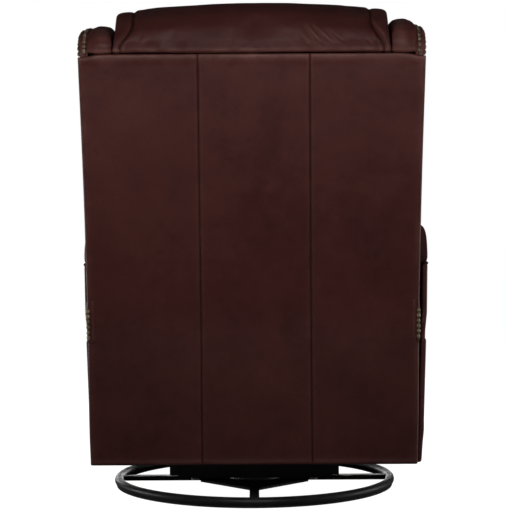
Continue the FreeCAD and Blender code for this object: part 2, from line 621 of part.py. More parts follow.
ptz, pry, plz = D.pillow_top_z, D.pillow_rear_y, D.pillow_low_z
crest_y, crest_z = on_back(D.back_len, dim(0.0))
pillow = outline("pillow", "YZ_Plane", D.pillow_half_x * 2, -D.pillow_half_x,
                 [(136.0, plz), (140.0, plz + 50), (150.0, plz + 130), (162.0, plz + 210), (184.0, plz + 280),
                  (218.0, ptz - 64), (266.0, ptz - 24), (330.0, ptz - 2), (362.0, ptz), (404.0, ptz - 8), (440.0, ptz - 30),
                  (464.0, ptz - 62), (pry, ptz - 84), (pry - 4, ptz - 98), (crest_y, crest_z + 1.5),
                  (front_of_frame(crest_z + 1.5), crest_z + 1.5), (front_of_frame(plz), plz)])
node(pillow, "head_pillow")

# wing outline, from the rounded lower end up the rear edge, over the top and down the front
end_y, end_z, end_r = D.pivot_y, D.pivot_z, D.wing_end_rad
rear_low = on_back(dim(4.0), dim(1.0))
rear_top = on_back(D.back_len - 4, dim(1.0))
wing_pts = []
for k in range(9):
    a = 180.0 + 180.0 * k / 8
    wing_pts.append((end_y + end_r * math.cos(math.radians(a)), end_z + end_r * math.sin(math.radians(a))))
wing_pts[-1] = (back_plane_y - 1, end_z)
wing_pts += [rear_top, (D.pivot_y + 118, 1023.0), (D.pivot_y + 88, 1046.0), (D.pivot_y + 40, 1059.0), (310.0, 1063.0),
             (240.0, 1061.0), (182.0, 1048.0), (136.0, 1019.0), (106.0, 974.0), (94.0, 926.0), (96.0, 870.0), (106.0, 815.0),
             (128.0, 762.0), (160.0, 716.0), (200.0, 680.0), (240.0, 658.0), (end_y - end_r, 645.0)]
wing = outline("wing", "YZ_Plane", D.wing_panel_thick, D.wing_panel_x, wing_pts)
node(wing, "wing_panel_left")
node(mirror("wing_mirror", wing), "wing_panel_right")

pad_pts = [(front_of_frame(650.0), 650.0), (front_of_frame(crest_z + 2), crest_z + 2), (crest_y - 3, crest_z + 2),
           (D.pivot_y + 125, 1034.0), (D.pivot_y + 92, 1056.0), (D.pivot_y + 30, 1070.0), (306.0, 1073.0), (236.0, 1071.0),
           (174.0, 1058.0), (122.0, 1028.0), (90.0, 982.0), (76.0, 928.0), (78.0, 866.0), (89.0, 806.0), (113.0, 750.0),
           (148.0, 702.0), (192.0, 664.0), (236.0, 645.0)]
wing_pad = outline("wing_pad", "YZ_Plane", D.wing_pad_thick, D.wing_pad_x, pad_pts)
node(wing_pad, "wing_pad_left")
node(mirror("wing_pad_mirror", wing_pad), "wing_pad_right")

wing_dims = [(dim(a), dim(b)) for a, b in wing_pts]
wing_far = D.wing_panel_x.value + D.wing_panel_thick.value
wing_band = feature("wing_band", trim_band("wing_band", wing_dims, lambda a, b: V(wing_far, a, b), V(D.nail_tall.value, 0, 0)))
node(group("wing_nails", wing_band, mirror("wing_band_mirror", wing_band)), "wing_nail_trim")

# ---------------------------------------------------------------- footrest
a0 = (-D.drive_y, D.drive_z)
e1 = (a0[0] + D.drive_len * dsin(D.drive_deg - 90), a0[1] - D.drive_len * dcos(D.drive_deg - 90))
e2 = (e1[0] - D.fold_len * dcos(D.fold_deg), e1[1] + D.fold_len * dsin(D.fold_deg))

drive = fuse("drive", bar("drive_bar", D.footlink_thick, D.drive_x, a0, e1, D.footlink_rad + 1,
                          holes=[(a0[0], a0[1], D.torque_rad)]),
             rod_x("drive_pin", D.footpin_rad, D.fold_x - 0.8, D.drive_x + 1, e1[0], e1[1]))
node(group("drive_links", drive, mirror("drive_right", drive)), "footrest_drive_links")

node(rod_x("torque", D.torque_rad, -(rail_far + 1.5), rail_far + 1.5, a0[0], a0[1]), "torque_tube")

fold = bar("fold_bar", D.footlink_thick, D.fold_x, e1, e2, D.footlink_rad,
           holes=[(e1[0], e1[1], D.footpin_rad + D.run_gap), (e2[0], e2[1], D.footpin_rad + D.run_gap)])
node(group("fold_links", fold, mirror("fold_right", fold)), "footrest_front_links")

foot_plate = outline("foot_plate", "YZ_Plane", D.footlink_thick, D.footbracket_x,
                     [(-D.board_near, D.board_low_z + 30), (-D.board_near + 10, D.board_low_z + 30), (e2[0] + 12, e2[1] - 12),
                      (e2[0] + 12, e2[1] + 12), (-D.board_near, e2[1] + 14)])
foot_bracket = fuse("foot_bracket", foot_plate,
                    box("foot_flange", D.footbracket_x - 26, D.footbracket_x + 1, -D.board_near, -D.board_near + 4,
                        D.board_low_z + 30, e2[1] + 14),
                    rod_x("foot_pin", D.footpin_rad, D.footbracket_x + 1, D.fold_x + D.footlink_thick + 0.8, e2[0], e2[1]))
node(group("foot_brackets", foot_bracket, mirror("foot_bracket_right", foot_bracket)), "footrest_brackets")

node(box("board", -D.board_half_x, D.board_half_x, -(D.board_near + D.board_thick), -D.board_near, D.board_low_z, D.board_top_z),
     "footrest_board")

foot_pad = outline("foot_pad", "XZ_Plane", D.front_y - D.board_near - D.board_thick - 0.5, -D.front_y,
                   [(-D.foot_pad_half_x, D.foot_pad_low_z), (D.foot_pad_half_x, D.foot_pad_low_z),
                    (D.foot_pad_half_x, D.foot_pad_top_z), (-D.foot_pad_half_x, D.foot_pad_top_z)], round_all=D.foot_pad_round)
node(foot_pad, "footrest_pad")

# ---------------------------------------------------------------- check and export
doc.recompute()
for obj in doc.Objects:
    if "Invalid" in obj.State or "Error" in obj.State:
        raise RuntimeError("%s did not compute: %s" % (obj.Name, obj.State))
for obj in NODES:
    if obj.Shape.isNull() or not obj.Shape.isValid() or not obj.Shape.Solids:
        raise RuntimeError("%s has no valid solid" % obj.Label)

os.makedirs("parts", exist_ok=True)
for obj in NODES:
    obj.Shape.exportStep("parts/%s.step" % obj.Label)
print(len(NODES), "nodes")
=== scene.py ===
import json
import math
import random

import bmesh
import bpy
import numpy as np
from mathutils import Matrix, Vector
from mathutils.geometry import delaunay_2d_cdt


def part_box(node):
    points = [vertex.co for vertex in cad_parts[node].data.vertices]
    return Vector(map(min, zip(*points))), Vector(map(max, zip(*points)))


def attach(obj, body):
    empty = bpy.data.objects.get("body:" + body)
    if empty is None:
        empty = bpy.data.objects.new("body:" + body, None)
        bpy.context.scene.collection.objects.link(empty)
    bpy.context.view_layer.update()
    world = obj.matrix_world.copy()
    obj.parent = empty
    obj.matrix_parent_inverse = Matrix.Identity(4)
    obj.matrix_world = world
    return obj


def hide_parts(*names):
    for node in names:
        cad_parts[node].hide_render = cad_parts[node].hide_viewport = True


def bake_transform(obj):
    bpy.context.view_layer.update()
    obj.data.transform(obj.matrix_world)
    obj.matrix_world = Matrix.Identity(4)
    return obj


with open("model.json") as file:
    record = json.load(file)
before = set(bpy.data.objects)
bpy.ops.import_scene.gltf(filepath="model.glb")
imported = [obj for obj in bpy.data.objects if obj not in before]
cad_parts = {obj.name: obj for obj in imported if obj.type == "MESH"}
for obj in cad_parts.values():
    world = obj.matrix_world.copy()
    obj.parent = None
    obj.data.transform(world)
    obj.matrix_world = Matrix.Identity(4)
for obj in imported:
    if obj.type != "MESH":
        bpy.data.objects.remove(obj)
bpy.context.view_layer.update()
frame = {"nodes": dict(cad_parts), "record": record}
NODES = frame["nodes"]
scene = bpy.context.scene
rng = random.Random(41)

# Sizes below are in millimetres, in the frame of the part: the sitter faces -Y, +Z is up.
MM = 0.001


# ---------------------------------------------------------------- numbers and curves

def lattice(i, j, k, seed):
    n = (i * 73856093) ^ (j * 19349663) ^ (k * 83492791) ^ (seed * 40503)
    n = ((n ^ (n >> 13)) * 1274126177) & 0x7FFFFFFF
    n = n ^ (n >> 16)
    return (n & 0xFFFF) / 32767.5 - 1.0


def noise(p, size, seed=0):
    """Smooth noise from -1 to 1 with features of that size, at points p (n by 3)."""
    q = np.asarray(p, float) / size + 1000.0
    i = np.floor(q).astype(np.int64)
    f = q - i
    f = f * f * (3 - 2 * f)
    total = np.zeros(len(q))
    for dx in (0, 1):
        for dy in (0, 1):
            for dz in (0, 1):
                w = (f[:, 0] if dx else 1 - f[:, 0]) * (f[:, 1] if dy else 1 - f[:, 1]) * (f[:, 2] if dz else 1 - f[:, 2])
                total += w * lattice(i[:, 0] + dx, i[:, 1] + dy, i[:, 2] + dz, seed)
    return total


def bell(x, width):
    return np.exp(-((np.asarray(x, float) / width) ** 2))


def ease(x):
    x = np.clip(x, 0, 1)
    return x * x * (3 - 2 * x)


def table(x, pairs):
    xs, ys = zip(*pairs)
    return np.interp(x, xs, ys)


def soft_table(x, pairs, size):
    """A table read with its corners rounded over that size."""
    offsets = np.linspace(-size, size, 9)
    weights = bell(offsets, size * 0.6)
    return sum(w * table(np.asarray(x, float) + o, pairs) for w, o in zip(weights, offsets)) / weights.sum()


def densify(points, longest, closed=True):
    points = np.asarray(points, float)
    out = []
    count = len(points) if closed else len(points) - 1
    for i in range(count):
        a, b = points[i], points[(i + 1) % len(points)]
        n = max(1, int(math.ceil(np.linalg.norm(b - a) / longest)))
        out += [a + (b - a) * k / n for k in range(n)]
    if not closed:
        out.append(points[-1])
    return np.array(out)


def chaikin(points, times):
    for _ in range(times):
        nxt = np.roll(points, -1, 0)
        points = np.stack([points * 0.75 + nxt * 0.25, points * 0.25 + nxt * 0.75], 1).reshape(-1, points.shape[1])
    return points


def resample(points, step, closed=True):
    points = np.asarray(points, float)
    if closed:
        points = np.vstack([points, points[:1]])
    run = np.concatenate([[0], np.cumsum(np.linalg.norm(np.diff(points, axis=0), axis=1))])
    n = max(4, int(round(run[-1] / step)))
    at = np.linspace(0, run[-1], n + 1)
    if closed:
        at = at[:-1]
    return np.stack([np.interp(at, run, points[:, k]) for k in range(points.shape[1])], 1)


def graded(points, spacing):
    """A closed outline with points spaced as spacing(at) asks."""
    fine = resample(points, 0.8)
    want = np.cumsum(0.8 / spacing(fine))
    n = max(8, int(round(want[-1])))
    at = np.linspace(0, want[-1], n, endpoint=False) + want[0] * 0.5
    return np.stack([np.interp(at, want, fine[:, k]) for k in range(fine.shape[1])], 1)


def rounded(points, longest=14.0, times=3):
    """A closed outline with its corners eased."""
    return chaikin(densify(points, longest), times)


def counterclockwise(loop):
    x, y = loop[:, 0], loop[:, 1]
    area = (x * np.roll(y, -1) - np.roll(x, -1) * y).sum()
    return loop if area > 0 else loop[::-1].copy()


def inward(loop):
    t = np.roll(loop, -1, 0) - np.roll(loop, 1, 0)
    t /= np.maximum(np.linalg.norm(t, axis=1, keepdims=True), 1e-9)
    return np.stack([-t[:, 1], t[:, 0]], 1)


def depth_in(points, loop):
    """Distance of each point from a closed outline, positive inside it."""
    p = np.asarray(points, float)
    best = np.full(len(p), 1e18)
    odd = np.zeros(len(p), bool)
    nxt = np.roll(loop, -1, 0)
    for (ax, ay), (bx, by) in zip(loop, nxt):
        ex, ey = bx - ax, by - ay
        px, py = p[:, 0] - ax, p[:, 1] - ay
        t = np.clip((px * ex + py * ey) / max(ex * ex + ey * ey, 1e-12), 0, 1)
        best = np.minimum(best, (px - t * ex) ** 2 + (py - t * ey) ** 2)
        if ay != by:
            cross = (ay > p[:, 1]) != (by > p[:, 1])
            odd ^= cross & (p[:, 0] < (bx - ax) * (p[:, 1] - ay) / (by - ay) + ax)
    d = np.sqrt(best)
    return np.where(odd, d, -d)


def inset(loop, distance, step):
    """An outline that distance inside another, evenly spaced."""
    loop = counterclockwise(resample(loop, 3.0))
    q = loop + inward(loop) * distance
    q = q[depth_in(q, loop) > distance * 0.94]
    return resample(q, step)


# ---------------------------------------------------------------- meshes

class Build:
    """Collects parts of one piece: points in mm, faces, a material number and two painted values."""

    def __init__(self):
        self.points, self.faces, self.mats, self.wear, self.dirt, self.count = [], [], [], [], [], 0

    def add(self, points, faces, mat=0, wear=0.0, dirt=0.0):
        points = np.asarray(points, float)
        n = len(points)
        self.points.append(points)
        self.faces += [tuple(int(i) + self.count for i in f) for f in faces]
        self.mats += [mat] * len(faces)
        self.wear.append(np.broadcast_to(np.asarray(wear, float), (n,)))
        self.dirt.append(np.broadcast_to(np.asarray(dirt, float), (n,)))
        self.count += n
        return self

    def make(self, name, materials, smooth=True, outward=True):
        mesh = bpy.data.meshes.new(name)
        mesh.from_pydata((np.vstack(self.points) * MM).tolist(), [], self.faces)
        mesh.update()
        for m in materials:
            mesh.materials.append(m)
        mesh.polygons.foreach_set("material_index", np.array(self.mats, np.int32))
        mesh.polygons.foreach_set("use_smooth", np.full(len(mesh.polygons), smooth))
        for key, values in (("wear", self.wear), ("dirt", self.dirt)):
            mesh.attributes.new(key, "FLOAT", "POINT").data.foreach_set("value", np.concatenate(values).astype(np.float32))
        if outward:
            bm = bmesh.new()
            bm.from_mesh(mesh)
            bmesh.ops.recalc_face_normals(bm, faces=bm.faces)
            bm.to_mesh(mesh)
            bm.free()
        obj = bpy.data.objects.new(name, mesh)
        scene.collection.objects.link(obj)
        return obj


def coords(obj):
    a = np.empty(len(obj.data.vertices) * 3, np.float32)
    obj.data.vertices.foreach_get("co", a)
    return a.reshape(-1, 3).astype(float) / MM


def set_coords(obj, points):
    obj.data.vertices.foreach_set("co", (np.asarray(points) * MM).astype(np.float32).ravel())
    obj.data.update()


def normals(obj):
    a = np.empty(len(obj.data.vertices) * 3, np.float32)
    obj.data.vertices.foreach_get("normal", a)
    return a.reshape(-1, 3).astype(float)


def paint(obj, key, values):
    obj.data.attributes[key].data.foreach_set("value", np.clip(values, 0, 1).astype(np.float32))


def painted(obj, key):
    a = np.empty(len(obj.data.vertices), np.float32)
    obj.data.attributes[key].data.foreach_get("value", a)
    return a.astype(float)


def settle(obj):
    """Turns an object's modifiers into its mesh."""
    dg = bpy.context.evaluated_depsgraph_get()
    mesh = bpy.data.meshes.new_from_object(obj.evaluated_get(dg), preserve_all_data_layers=True, depsgraph=dg)
    old = obj.data
    obj.modifiers.clear()
    obj.data = mesh
    bpy.data.meshes.remove(old)
    return obj


def subdivide(obj, levels=1):
    m = obj.modifiers.new("subdivision", "SUBSURF")
    m.levels = m.render_levels = levels
    return settle(obj)


def reflected(obj, name):
    """The same piece on the other side of the chair."""
    mesh = obj.data.copy()
    mesh.name = name
    mesh.transform(Matrix.Diagonal((-1, 1, 1, 1)))
    mesh.flip_normals()
    other = bpy.data.objects.new(name, mesh)
    scene.collection.objects.link(other)
    return other


def slab(loop, lo, hi, edge_lo, edge_hi, crown_lo=0.0, crown_hi=0.0, reach=80.0, rows=1, bulge=0.0, step=6.0, grid=12.0):
    """A pad over an outline: points (a, b, w) with w from lo to hi, faces, distance from the rim, and which side (+1 hi, -1 lo, 0 wall)."""
    loop = counterclockwise(resample(loop, step) if step else np.asarray(loop, float))
    n, into = len(loop), inward(loop)

    def radius(edge, at):
        return np.maximum(edge(at) if callable(edge) else np.full(len(at), float(edge)), 0.05)

    top = max(radius(edge_lo, loop).max(), radius(edge_hi, loop).max())
    offsets = [top * (1 - math.cos(math.radians(a))) for a in (14, 27, 40, 53, 66, 78, 90)]
    offsets = [d for i, d in enumerate(offsets) if i == 0 or d - offsets[i - 1] > 0.25]
    offsets += [offsets[-1] + g for g in (grid * 0.45, grid * 1.0)]
    layers = [loop]
    for d in offsets:
        q = loop + into * d
        layers.append(q[depth_in(q, loop) > d * 0.93 - 0.05])
    low, high = loop.min(0), loop.max(0)
    ys = np.arange(low[1], high[1], grid * 0.87)
    field = np.array([(x + (grid * 0.5 if r % 2 else 0.0), y) for r, y in enumerate(ys) for x in np.arange(low[0], high[0], grid)])
    layers.append(field[depth_in(field, loop) > offsets[-1] + grid * 0.45])
    flat = np.vstack(layers)
    got, _, tris, origin, _, _ = delaunay_2d_cdt([Vector(p) for p in flat], [(i, (i + 1) % n) for i in range(n)], [], 1, 1e-4)
    got = np.array([tuple(v) for v in got])
    where = {}
    for out, ins in enumerate(origin):
        for i in ins:
            where[i] = out
    rim = [where[i] for i in range(n)]
    d = np.maximum(depth_in(got, loop), 0)
    d[rim] = 0

    def rise(edge, crown):
        arc = np.sqrt(np.maximum(edge * edge - (edge - np.minimum(d, edge)) ** 2, 0))
        s = np.clip(d / reach, 0, 1)
        return arc + crown * (1 - (1 - s) ** 2)

    m = len(got)
    w_hi = hi - radius(edge_hi, got) + rise(radius(edge_hi, got), crown_hi)
    w_lo = lo + radius(edge_lo, got) - rise(radius(edge_lo, got), crown_lo)
    points = [np.column_stack([got, w_hi]), np.column_stack([got, w_lo])]
    faces = [tuple(t) for t in tris] + [tuple(m + i for i in reversed(t)) for t in tris]
    dist, side = [d, d], [np.ones(m), -np.ones(m)]
    foot_w = lo + radius(edge_lo, loop)
    gap = hi - radius(edge_hi, loop) - foot_w
    rings = [[m + i for i in rim]]
    base = 2 * m
    rows = max(1, rows)
    for r in range(1, rows):
        t = r / rows
        ring = loop - into * (bulge * math.sin(math.pi * t))
        points.append(np.column_stack([ring, foot_w + gap * t]))
        dist.append(np.zeros(n))
        side.append(np.zeros(n))
        rings.append(list(range(base, base + n)))
        base += n
    rings.append(list(rim))
    if gap.max() < 0.4:
        swap = {m + i: i for i in rim}
        faces = [tuple(swap.get(i, i) for i in f) for f in faces]
    else:
        for a, b in zip(rings, rings[1:]):
            faces += [(a[i], a[(i + 1) % n], b[(i + 1) % n], b[i]) for i in range(n)]
    points, dist, side = np.vstack(points), np.concatenate(dist), np.concatenate(side)
    used = np.zeros(len(points), bool)
    for f in faces:
        used[list(f)] = True
    number = np.cumsum(used) - 1
    keep = np.nonzero(used)[0]
    faces = [tuple(int(number[i]) for i in f) for f in faces]
    return {
        "points": points[keep], "faces": faces, "depth": dist[keep], "side": side[keep],
        "rim_hi": [int(number[i]) for i in rim], "rim_lo": [int(number[i]) for i in rings[0] if used[i]], "loop": loop,
    }


def sweep(path, radius, sides=8, closed=False, flat=1.0, up=None):
    """A round cord of leather along a path: points and faces."""
    path = np.asarray(path, float)
    n = len(path)
    if closed:
        t = np.roll(path, -1, 0) - np.roll(path, 1, 0)
    else:
        t = np.gradient(path, axis=0)
    t /= np.maximum(np.linalg.norm(t, axis=1, keepdims=True), 1e-9)
    guide = np.array(up if up is not None else (0.31, 0.17, 0.93), float)
    radius = np.broadcast_to(np.asarray(radius, float), (n,))
    side = np.cross(t, guide)
    side /= np.maximum(np.linalg.norm(side, axis=1, keepdims=True), 1e-9)
    over = np.cross(side, t)
    angles = np.linspace(0, 2 * math.pi, sides, endpoint=False)
    points = np.concatenate([
        path[i] + radius[i] * (np.cos(angles)[:, None] * side[i] + flat * np.sin(angles)[:, None] * over[i]) for i in range(n)
    ])
    faces = []
    for i in range(n if closed else n - 1):
        j = (i + 1) % n
        faces += [(i * sides + k, i * sides + (k + 1) % sides, j * sides + (k + 1) % sides, j * sides + k) for k in range(sides)]
    if not closed:
        faces.append(tuple(reversed(range(sides))))
        faces.append(tuple((n - 1) * sides + k for k in range(sides)))
    return points, faces


DOME = [(5.5, -0.8), (5.55, 0.15), (5.25, 0.95), (4.55, 1.85), (3.4, 2.65), (1.9, 3.2)]


def add_nail(build, at, facing, size=1.0, sides=14):
    """One domed nailhead, a little off true, as a hand drives them."""
    z = np.array(facing, float)
    z = z / np.linalg.norm(z)
    x = np.cross(z, (0.3, 0.5, 0.81))
    x /= np.linalg.norm(x)
    y = np.cross(z, x)
    tilt = np.array([rng.uniform(-0.09, 0.09), rng.uniform(-0.09, 0.09)])
    size *= rng.uniform(0.97, 1.03)
    spin = rng.uniform(0, 6.28)
    at = np.array(at, float) + x * rng.uniform(-0.35, 0.35) + y * rng.uniform(-0.35, 0.35)
    angles = np.linspace(0, 2 * math.pi, sides, endpoint=False) + spin
    points, dirt = [], []
    for r, h in DOME:
        ring_x, ring_y = r * size * np.cos(angles), r * size * np.sin(angles)
        points.append(at + ring_x[:, None] * x + ring_y[:, None] * y + (h + tilt[0] * ring_x + tilt[1] * ring_y)[:, None] * z)
        dirt += [max(0.0, 1 - h / 1.6)] * sides
    points.append((at + 3.38 * z)[None])
    dirt.append(0)
    points = np.vstack(points)
    top = len(points) - 1
    faces = [tuple(reversed(range(sides)))]
    for i in range(len(DOME) - 1):
        faces += [(i * sides + k, i * sides + (k + 1) % sides, (i + 1) * sides + (k + 1) % sides, (i + 1) * sides + k) for k in range(sides)]
    last = (len(DOME) - 1) * sides
    faces += [(last + k, last + (k + 1) % sides, top) for k in range(sides)]
    build.add(points, faces, 0, rng.random(), dirt)


def add_stitches(build, path, facing, pitch=6.0, long=4.2, radius=0.55, mat=1):
    """A row of thread, each stitch a short raised dash that dives into the leather at both ends."""
    path = resample(path, pitch, closed=False)
    facing = np.asarray(facing, float)
    for i in range(len(path) - 1):
        a, b = path[i], path[i + 1]
        d = b - a
        span = np.linalg.norm(d)
        if span < 1e-6:
            continue
        d /= span
        n = facing if facing.ndim == 1 else facing[min(i, len(facing) - 1)]
        mid = (a + b) / 2
        steps = (-0.5, -0.3, 0.0, 0.3, 0.5)
        lift = (-0.55, 0.15, 0.4, 0.15, -0.55)
        line = [mid + d * long * s + n * l for s, l in zip(steps, lift)]
        points, faces = sweep(line, radius, sides=6, up=n)
        build.add(points, faces, mat)


# ---------------------------------------------------------------- materials

class Paint:
    """A material made of nodes, with short ways to add them."""

    def __init__(self, name):
        self.mat = bpy.data.materials.new(name)
        self.mat.use_nodes = True
        self.tree = self.mat.node_tree
        self.tree.nodes.clear()
        out = self.node("ShaderNodeOutputMaterial")
        self.shader = self.node("ShaderNodeBsdfPrincipled")
        self.link(self.shader.outputs[0], out.inputs["Surface"])
        self.place = self.node("ShaderNodeTexCoord").outputs["Object"]

    def node(self, kind, **settings):
        n = self.tree.nodes.new(kind)
        for key, value in settings.items():
            setattr(n, key, value)
        return n

    def link(self, a, b):
        self.tree.links.new(a, b)

    def put(self, socket, value):
        if isinstance(value, bpy.types.NodeSocket):
            self.link(value, socket)
        else:
            socket.default_value = value

    def stretched(self, scale):
        m = self.node("ShaderNodeMapping")
        self.link(self.place, m.inputs["Vector"])
        m.inputs["Scale"].default_value = scale
        return m.outputs[0]

    def noise(self, scale, detail=4.0, rough=0.55, vector=None, distortion=0.0):
        n = self.node("ShaderNodeTexNoise")
        self.link(vector or self.place, n.inputs["Vector"])
        n.inputs["Scale"].default_value = scale
        n.inputs["Detail"].default_value = detail
        n.inputs["Roughness"].default_value = rough
        n.inputs["Distortion"].default_value = distortion
        return n.outputs["Fac"]

    def warped(self, scale, amount):
        n = self.node("ShaderNodeTexNoise")
        self.link(self.place, n.inputs["Vector"])
        n.inputs["Scale"].default_value = scale
        n.inputs["Detail"].default_value = 2.0
        v = self.node("ShaderNodeVectorMath", operation="MULTIPLY_ADD")
        self.link(n.outputs["Color"], v.inputs[0])
        v.inputs[1].default_value = (amount,) * 3
        self.link(self.place, v.inputs[2])
        return v.outputs[0]

    def cells(self, scale, vector=None, feature="DISTANCE_TO_EDGE"):
        n = self.node("ShaderNodeTexVoronoi", feature=feature)
        self.link(vector or self.place, n.inputs["Vector"])
        n.inputs["Scale"].default_value = scale
        return n.outputs["Distance"]

    def span(self, value, a, b, c, d, smooth=True):
        n = self.node("ShaderNodeMapRange", interpolation_type="SMOOTHSTEP" if smooth else "LINEAR")
        self.link(value, n.inputs["Value"])
        for key, x in (("From Min", a), ("From Max", b), ("To Min", c), ("To Max", d)):
            n.inputs[key].default_value = x
        return n.outputs[0]

    def math(self, how, a, b):
        n = self.node("ShaderNodeMath", operation=how)
        self.put(n.inputs[0], a)
        self.put(n.inputs[1], b)
        return n.outputs[0]

    def ramp(self, value, stops):
        n = self.node("ShaderNodeValToRGB")
        self.link(value, n.inputs[0])
        e = n.color_ramp.elements
        while len(e) < len(stops):
            e.new(0.5)
        for item, (at, colour) in zip(e, stops):
            item.position = at
            item.color = (*colour, 1)
        return n.outputs[0]

    def mix(self, factor, a, b, how="MIX"):
        n = self.node("ShaderNodeMix", data_type="RGBA", blend_type=how)
        self.put(n.inputs[0], factor)
        for socket, x in ((n.inputs[6], a), (n.inputs[7], b)):
            self.put(socket, (*x, 1) if isinstance(x, tuple) else x)
        return n.outputs[2]

    def painted(self, key):
        return self.node("ShaderNodeAttribute", attribute_name=key).outputs["Fac"]

    def bump(self, height, strength, distance, base=None):
        n = self.node("ShaderNodeBump")
        n.inputs["Strength"].default_value = strength
        n.inputs["Distance"].default_value = distance
        self.link(height, n.inputs["Height"])
        if base is not None:
            self.link(base, n.inputs["Normal"])
        return n.outputs[0]

    def finish(self, colour=None, rough=None, normal=None, **constants):
        s = self.shader.inputs
        for key, value in constants.items():
            s[key.replace("_", " ")].default_value = value
        if colour is not None:
            self.put(s["Base Color"], colour)
        if rough is not None:
            self.put(s["Roughness"], rough)
        if normal is not None:
            self.link(normal, s["Normal"])
        return self.mat


def leather(name, deep, mid, light, rubbed_and_highlight, low=0.27, high=0.38):
    """Aniline-dyed hide: mottled colour, pebble grain with creases, painted shade darkening the seams and grooves, and
    a lighter colour for edges lightened by rubbing and for painted highlights along seam edges.
    """
    p = Paint(name)
    warp = p.warped(46.0, 0.010)
    pebble = p.span(p.cells(430.0, warp), 0.0, 0.16, 0.0, 1.0)
    pores = p.noise(1500.0, 2.0, 0.6)
    crease = p.span(p.cells(74.0, p.warped(20.0, 0.03)), 0.0, 0.05, 0.0, 1.0)
    cloud = p.noise(5.5, 5.0, 0.62, distortion=0.5)
    blotch = p.noise(38.0, 6.0, 0.68)
    tone = p.math("MULTIPLY_ADD", blotch, 0.34)
    tone.node.inputs[2].default_value = 0.0
    tone = p.math("ADD", tone, p.math("MULTIPLY", cloud, 0.68))
    colour = p.ramp(tone, [(0.36, deep), (0.50, mid), (0.66, light)])
    colour = p.mix(p.span(pebble, 0.0, 1.0, 0.42, 0.0), colour, deep)
    colour = p.mix(p.span(crease, 0.0, 1.0, 0.22, 0.0), colour, deep)
    # A lighter colour mixed in by the first painted value: edges lightened by rubbing, and painted highlights along the
    # seam edges and pull lines.
    wear = p.math("MULTIPLY", p.painted("wear"), p.span(blotch, 0.30, 0.66, 0.35, 1.0))
    colour = p.mix(wear, colour, rubbed_and_highlight)
    # Darker by the second painted value: on the hide this is painted shade in seams, grooves and joints and over the
    # crown.
    dirt = p.painted("dirt")
    colour = p.mix(p.math("MULTIPLY", dirt, 0.86), colour, tuple(c * 0.22 for c in deep))
    rough = p.span(tone, 0.34, 0.68, high, low)
    rough = p.math("ADD", rough, p.span(pebble, 0.0, 1.0, 0.10, 0.0))
    rough = p.math("ADD", rough, p.math("MULTIPLY", dirt, 0.25))
    height = p.math("ADD", p.math("MULTIPLY", pebble, 0.55), p.math("MULTIPLY", pores, 0.30))
    height = p.math("ADD", height, p.math("MULTIPLY", crease, 0.35))
    soft = p.bump(p.noise(11.0, 3.0, 0.5), 0.10, 0.004)
    return p.finish(colour, rough, p.bump(height, 0.26, 0.0006, soft), Specular_IOR_Level=LEATHER_SHINE)


LEATHER_SHINE = 0.20
HIDE = leather("oxblood_hide", (0.0270, 0.0072, 0.0063), (0.0400, 0.0113, 0.0098), (0.0520, 0.0158, 0.0134), (0.130, 0.058, 0.048))


def thread_material():
    p = Paint("seam_thread")
    strands = p.noise(2600.0, 2.0, 0.5)
    colour = p.ramp(strands, [(0.3, (0.020, 0.007, 0.006)), (0.7, (0.055, 0.022, 0.018))])
    return p.finish(colour, p.span(strands, 0.3, 0.7, 0.75, 0.55), p.bump(strands, 0.5, 0.0003), Specular_IOR_Level=0.3)


def brass_material():
    p = Paint("antique_brass")
    patina = p.noise(160.0, 5.0, 0.65)
    fine = p.noise(1400.0, 3.0, 0.6)
    head = p.painted("wear")
    dirt = p.painted("dirt")
    tone = p.math("ADD", p.math("MULTIPLY", patina, 0.7), p.math("MULTIPLY", head, 0.3))
    colour = p.ramp(tone, [(0.25, (0.095, 0.074, 0.044)), (0.5, (0.215, 0.172, 0.108)), (0.78, (0.37, 0.31, 0.21))])
    colour = p.mix(p.math("MULTIPLY", dirt, 0.85), colour, (0.012, 0.008, 0.005))
    rough = p.math("ADD", p.span(patina, 0.3, 0.7, 0.46, 0.28), p.math("MULTIPLY", dirt, 0.3))
    return p.finish(colour, rough, p.bump(fine, 0.18, 0.0003), Metallic=0.6)


def steel_black():
    p = Paint("black_enamel")
    broad = p.noise(14.0, 4.0, 0.6)
    peel = p.noise(420.0, 2.0, 0.5)
    specks = p.span(p.noise(900.0, 3.0, 0.7), 0.66, 0.74, 0.0, 1.0)
    colour = p.ramp(broad, [(0.3, (0.0058, 0.0058, 0.0060)), (0.7, (0.0125, 0.0124, 0.0120))])
    up = p.node("ShaderNodeSeparateXYZ")
    p.link(p.node("ShaderNodeNewGeometry").outputs["Normal"], up.inputs[0])
    dust = p.math("MULTIPLY", p.span(up.outputs[2], 0.35, 1.0, 0.0, 0.22), p.span(p.noise(60.0, 5.0, 0.7), 0.35, 0.7, 0.2, 1.0))
    colour = p.mix(dust, colour, (0.060, 0.058, 0.054))
    colour = p.mix(p.math("MULTIPLY", specks, 0.35), colour, (0.045, 0.044, 0.042))
    rough = p.span(broad, 0.25, 0.75, 0.34, 0.50)
    rough = p.math("ADD", rough, p.math("MULTIPLY", dust, 0.9))
    return p.finish(colour, rough, p.bump(peel, 0.12, 0.0004), Specular_IOR_Level=0.5)


def steel_zinc():
    p = Paint("zinc_plate")
    streak = p.noise(90.0, 4.0, 0.6, p.stretched((1.0, 1.0, 14.0)))
    bloom = p.noise(45.0, 5.0, 0.65)
    colour = p.ramp(bloom, [(0.3, (0.30, 0.30, 0.29)), (0.55, (0.46, 0.46, 0.44)), (0.75, (0.56, 0.54, 0.47))])
    rough = p.math("ADD", p.span(streak, 0.3, 0.7, 0.26, 0.40), p.math("MULTIPLY", bloom, 0.08))
    return p.finish(colour, rough, p.bump(streak, 0.12, 0.0003), Metallic=1.0)


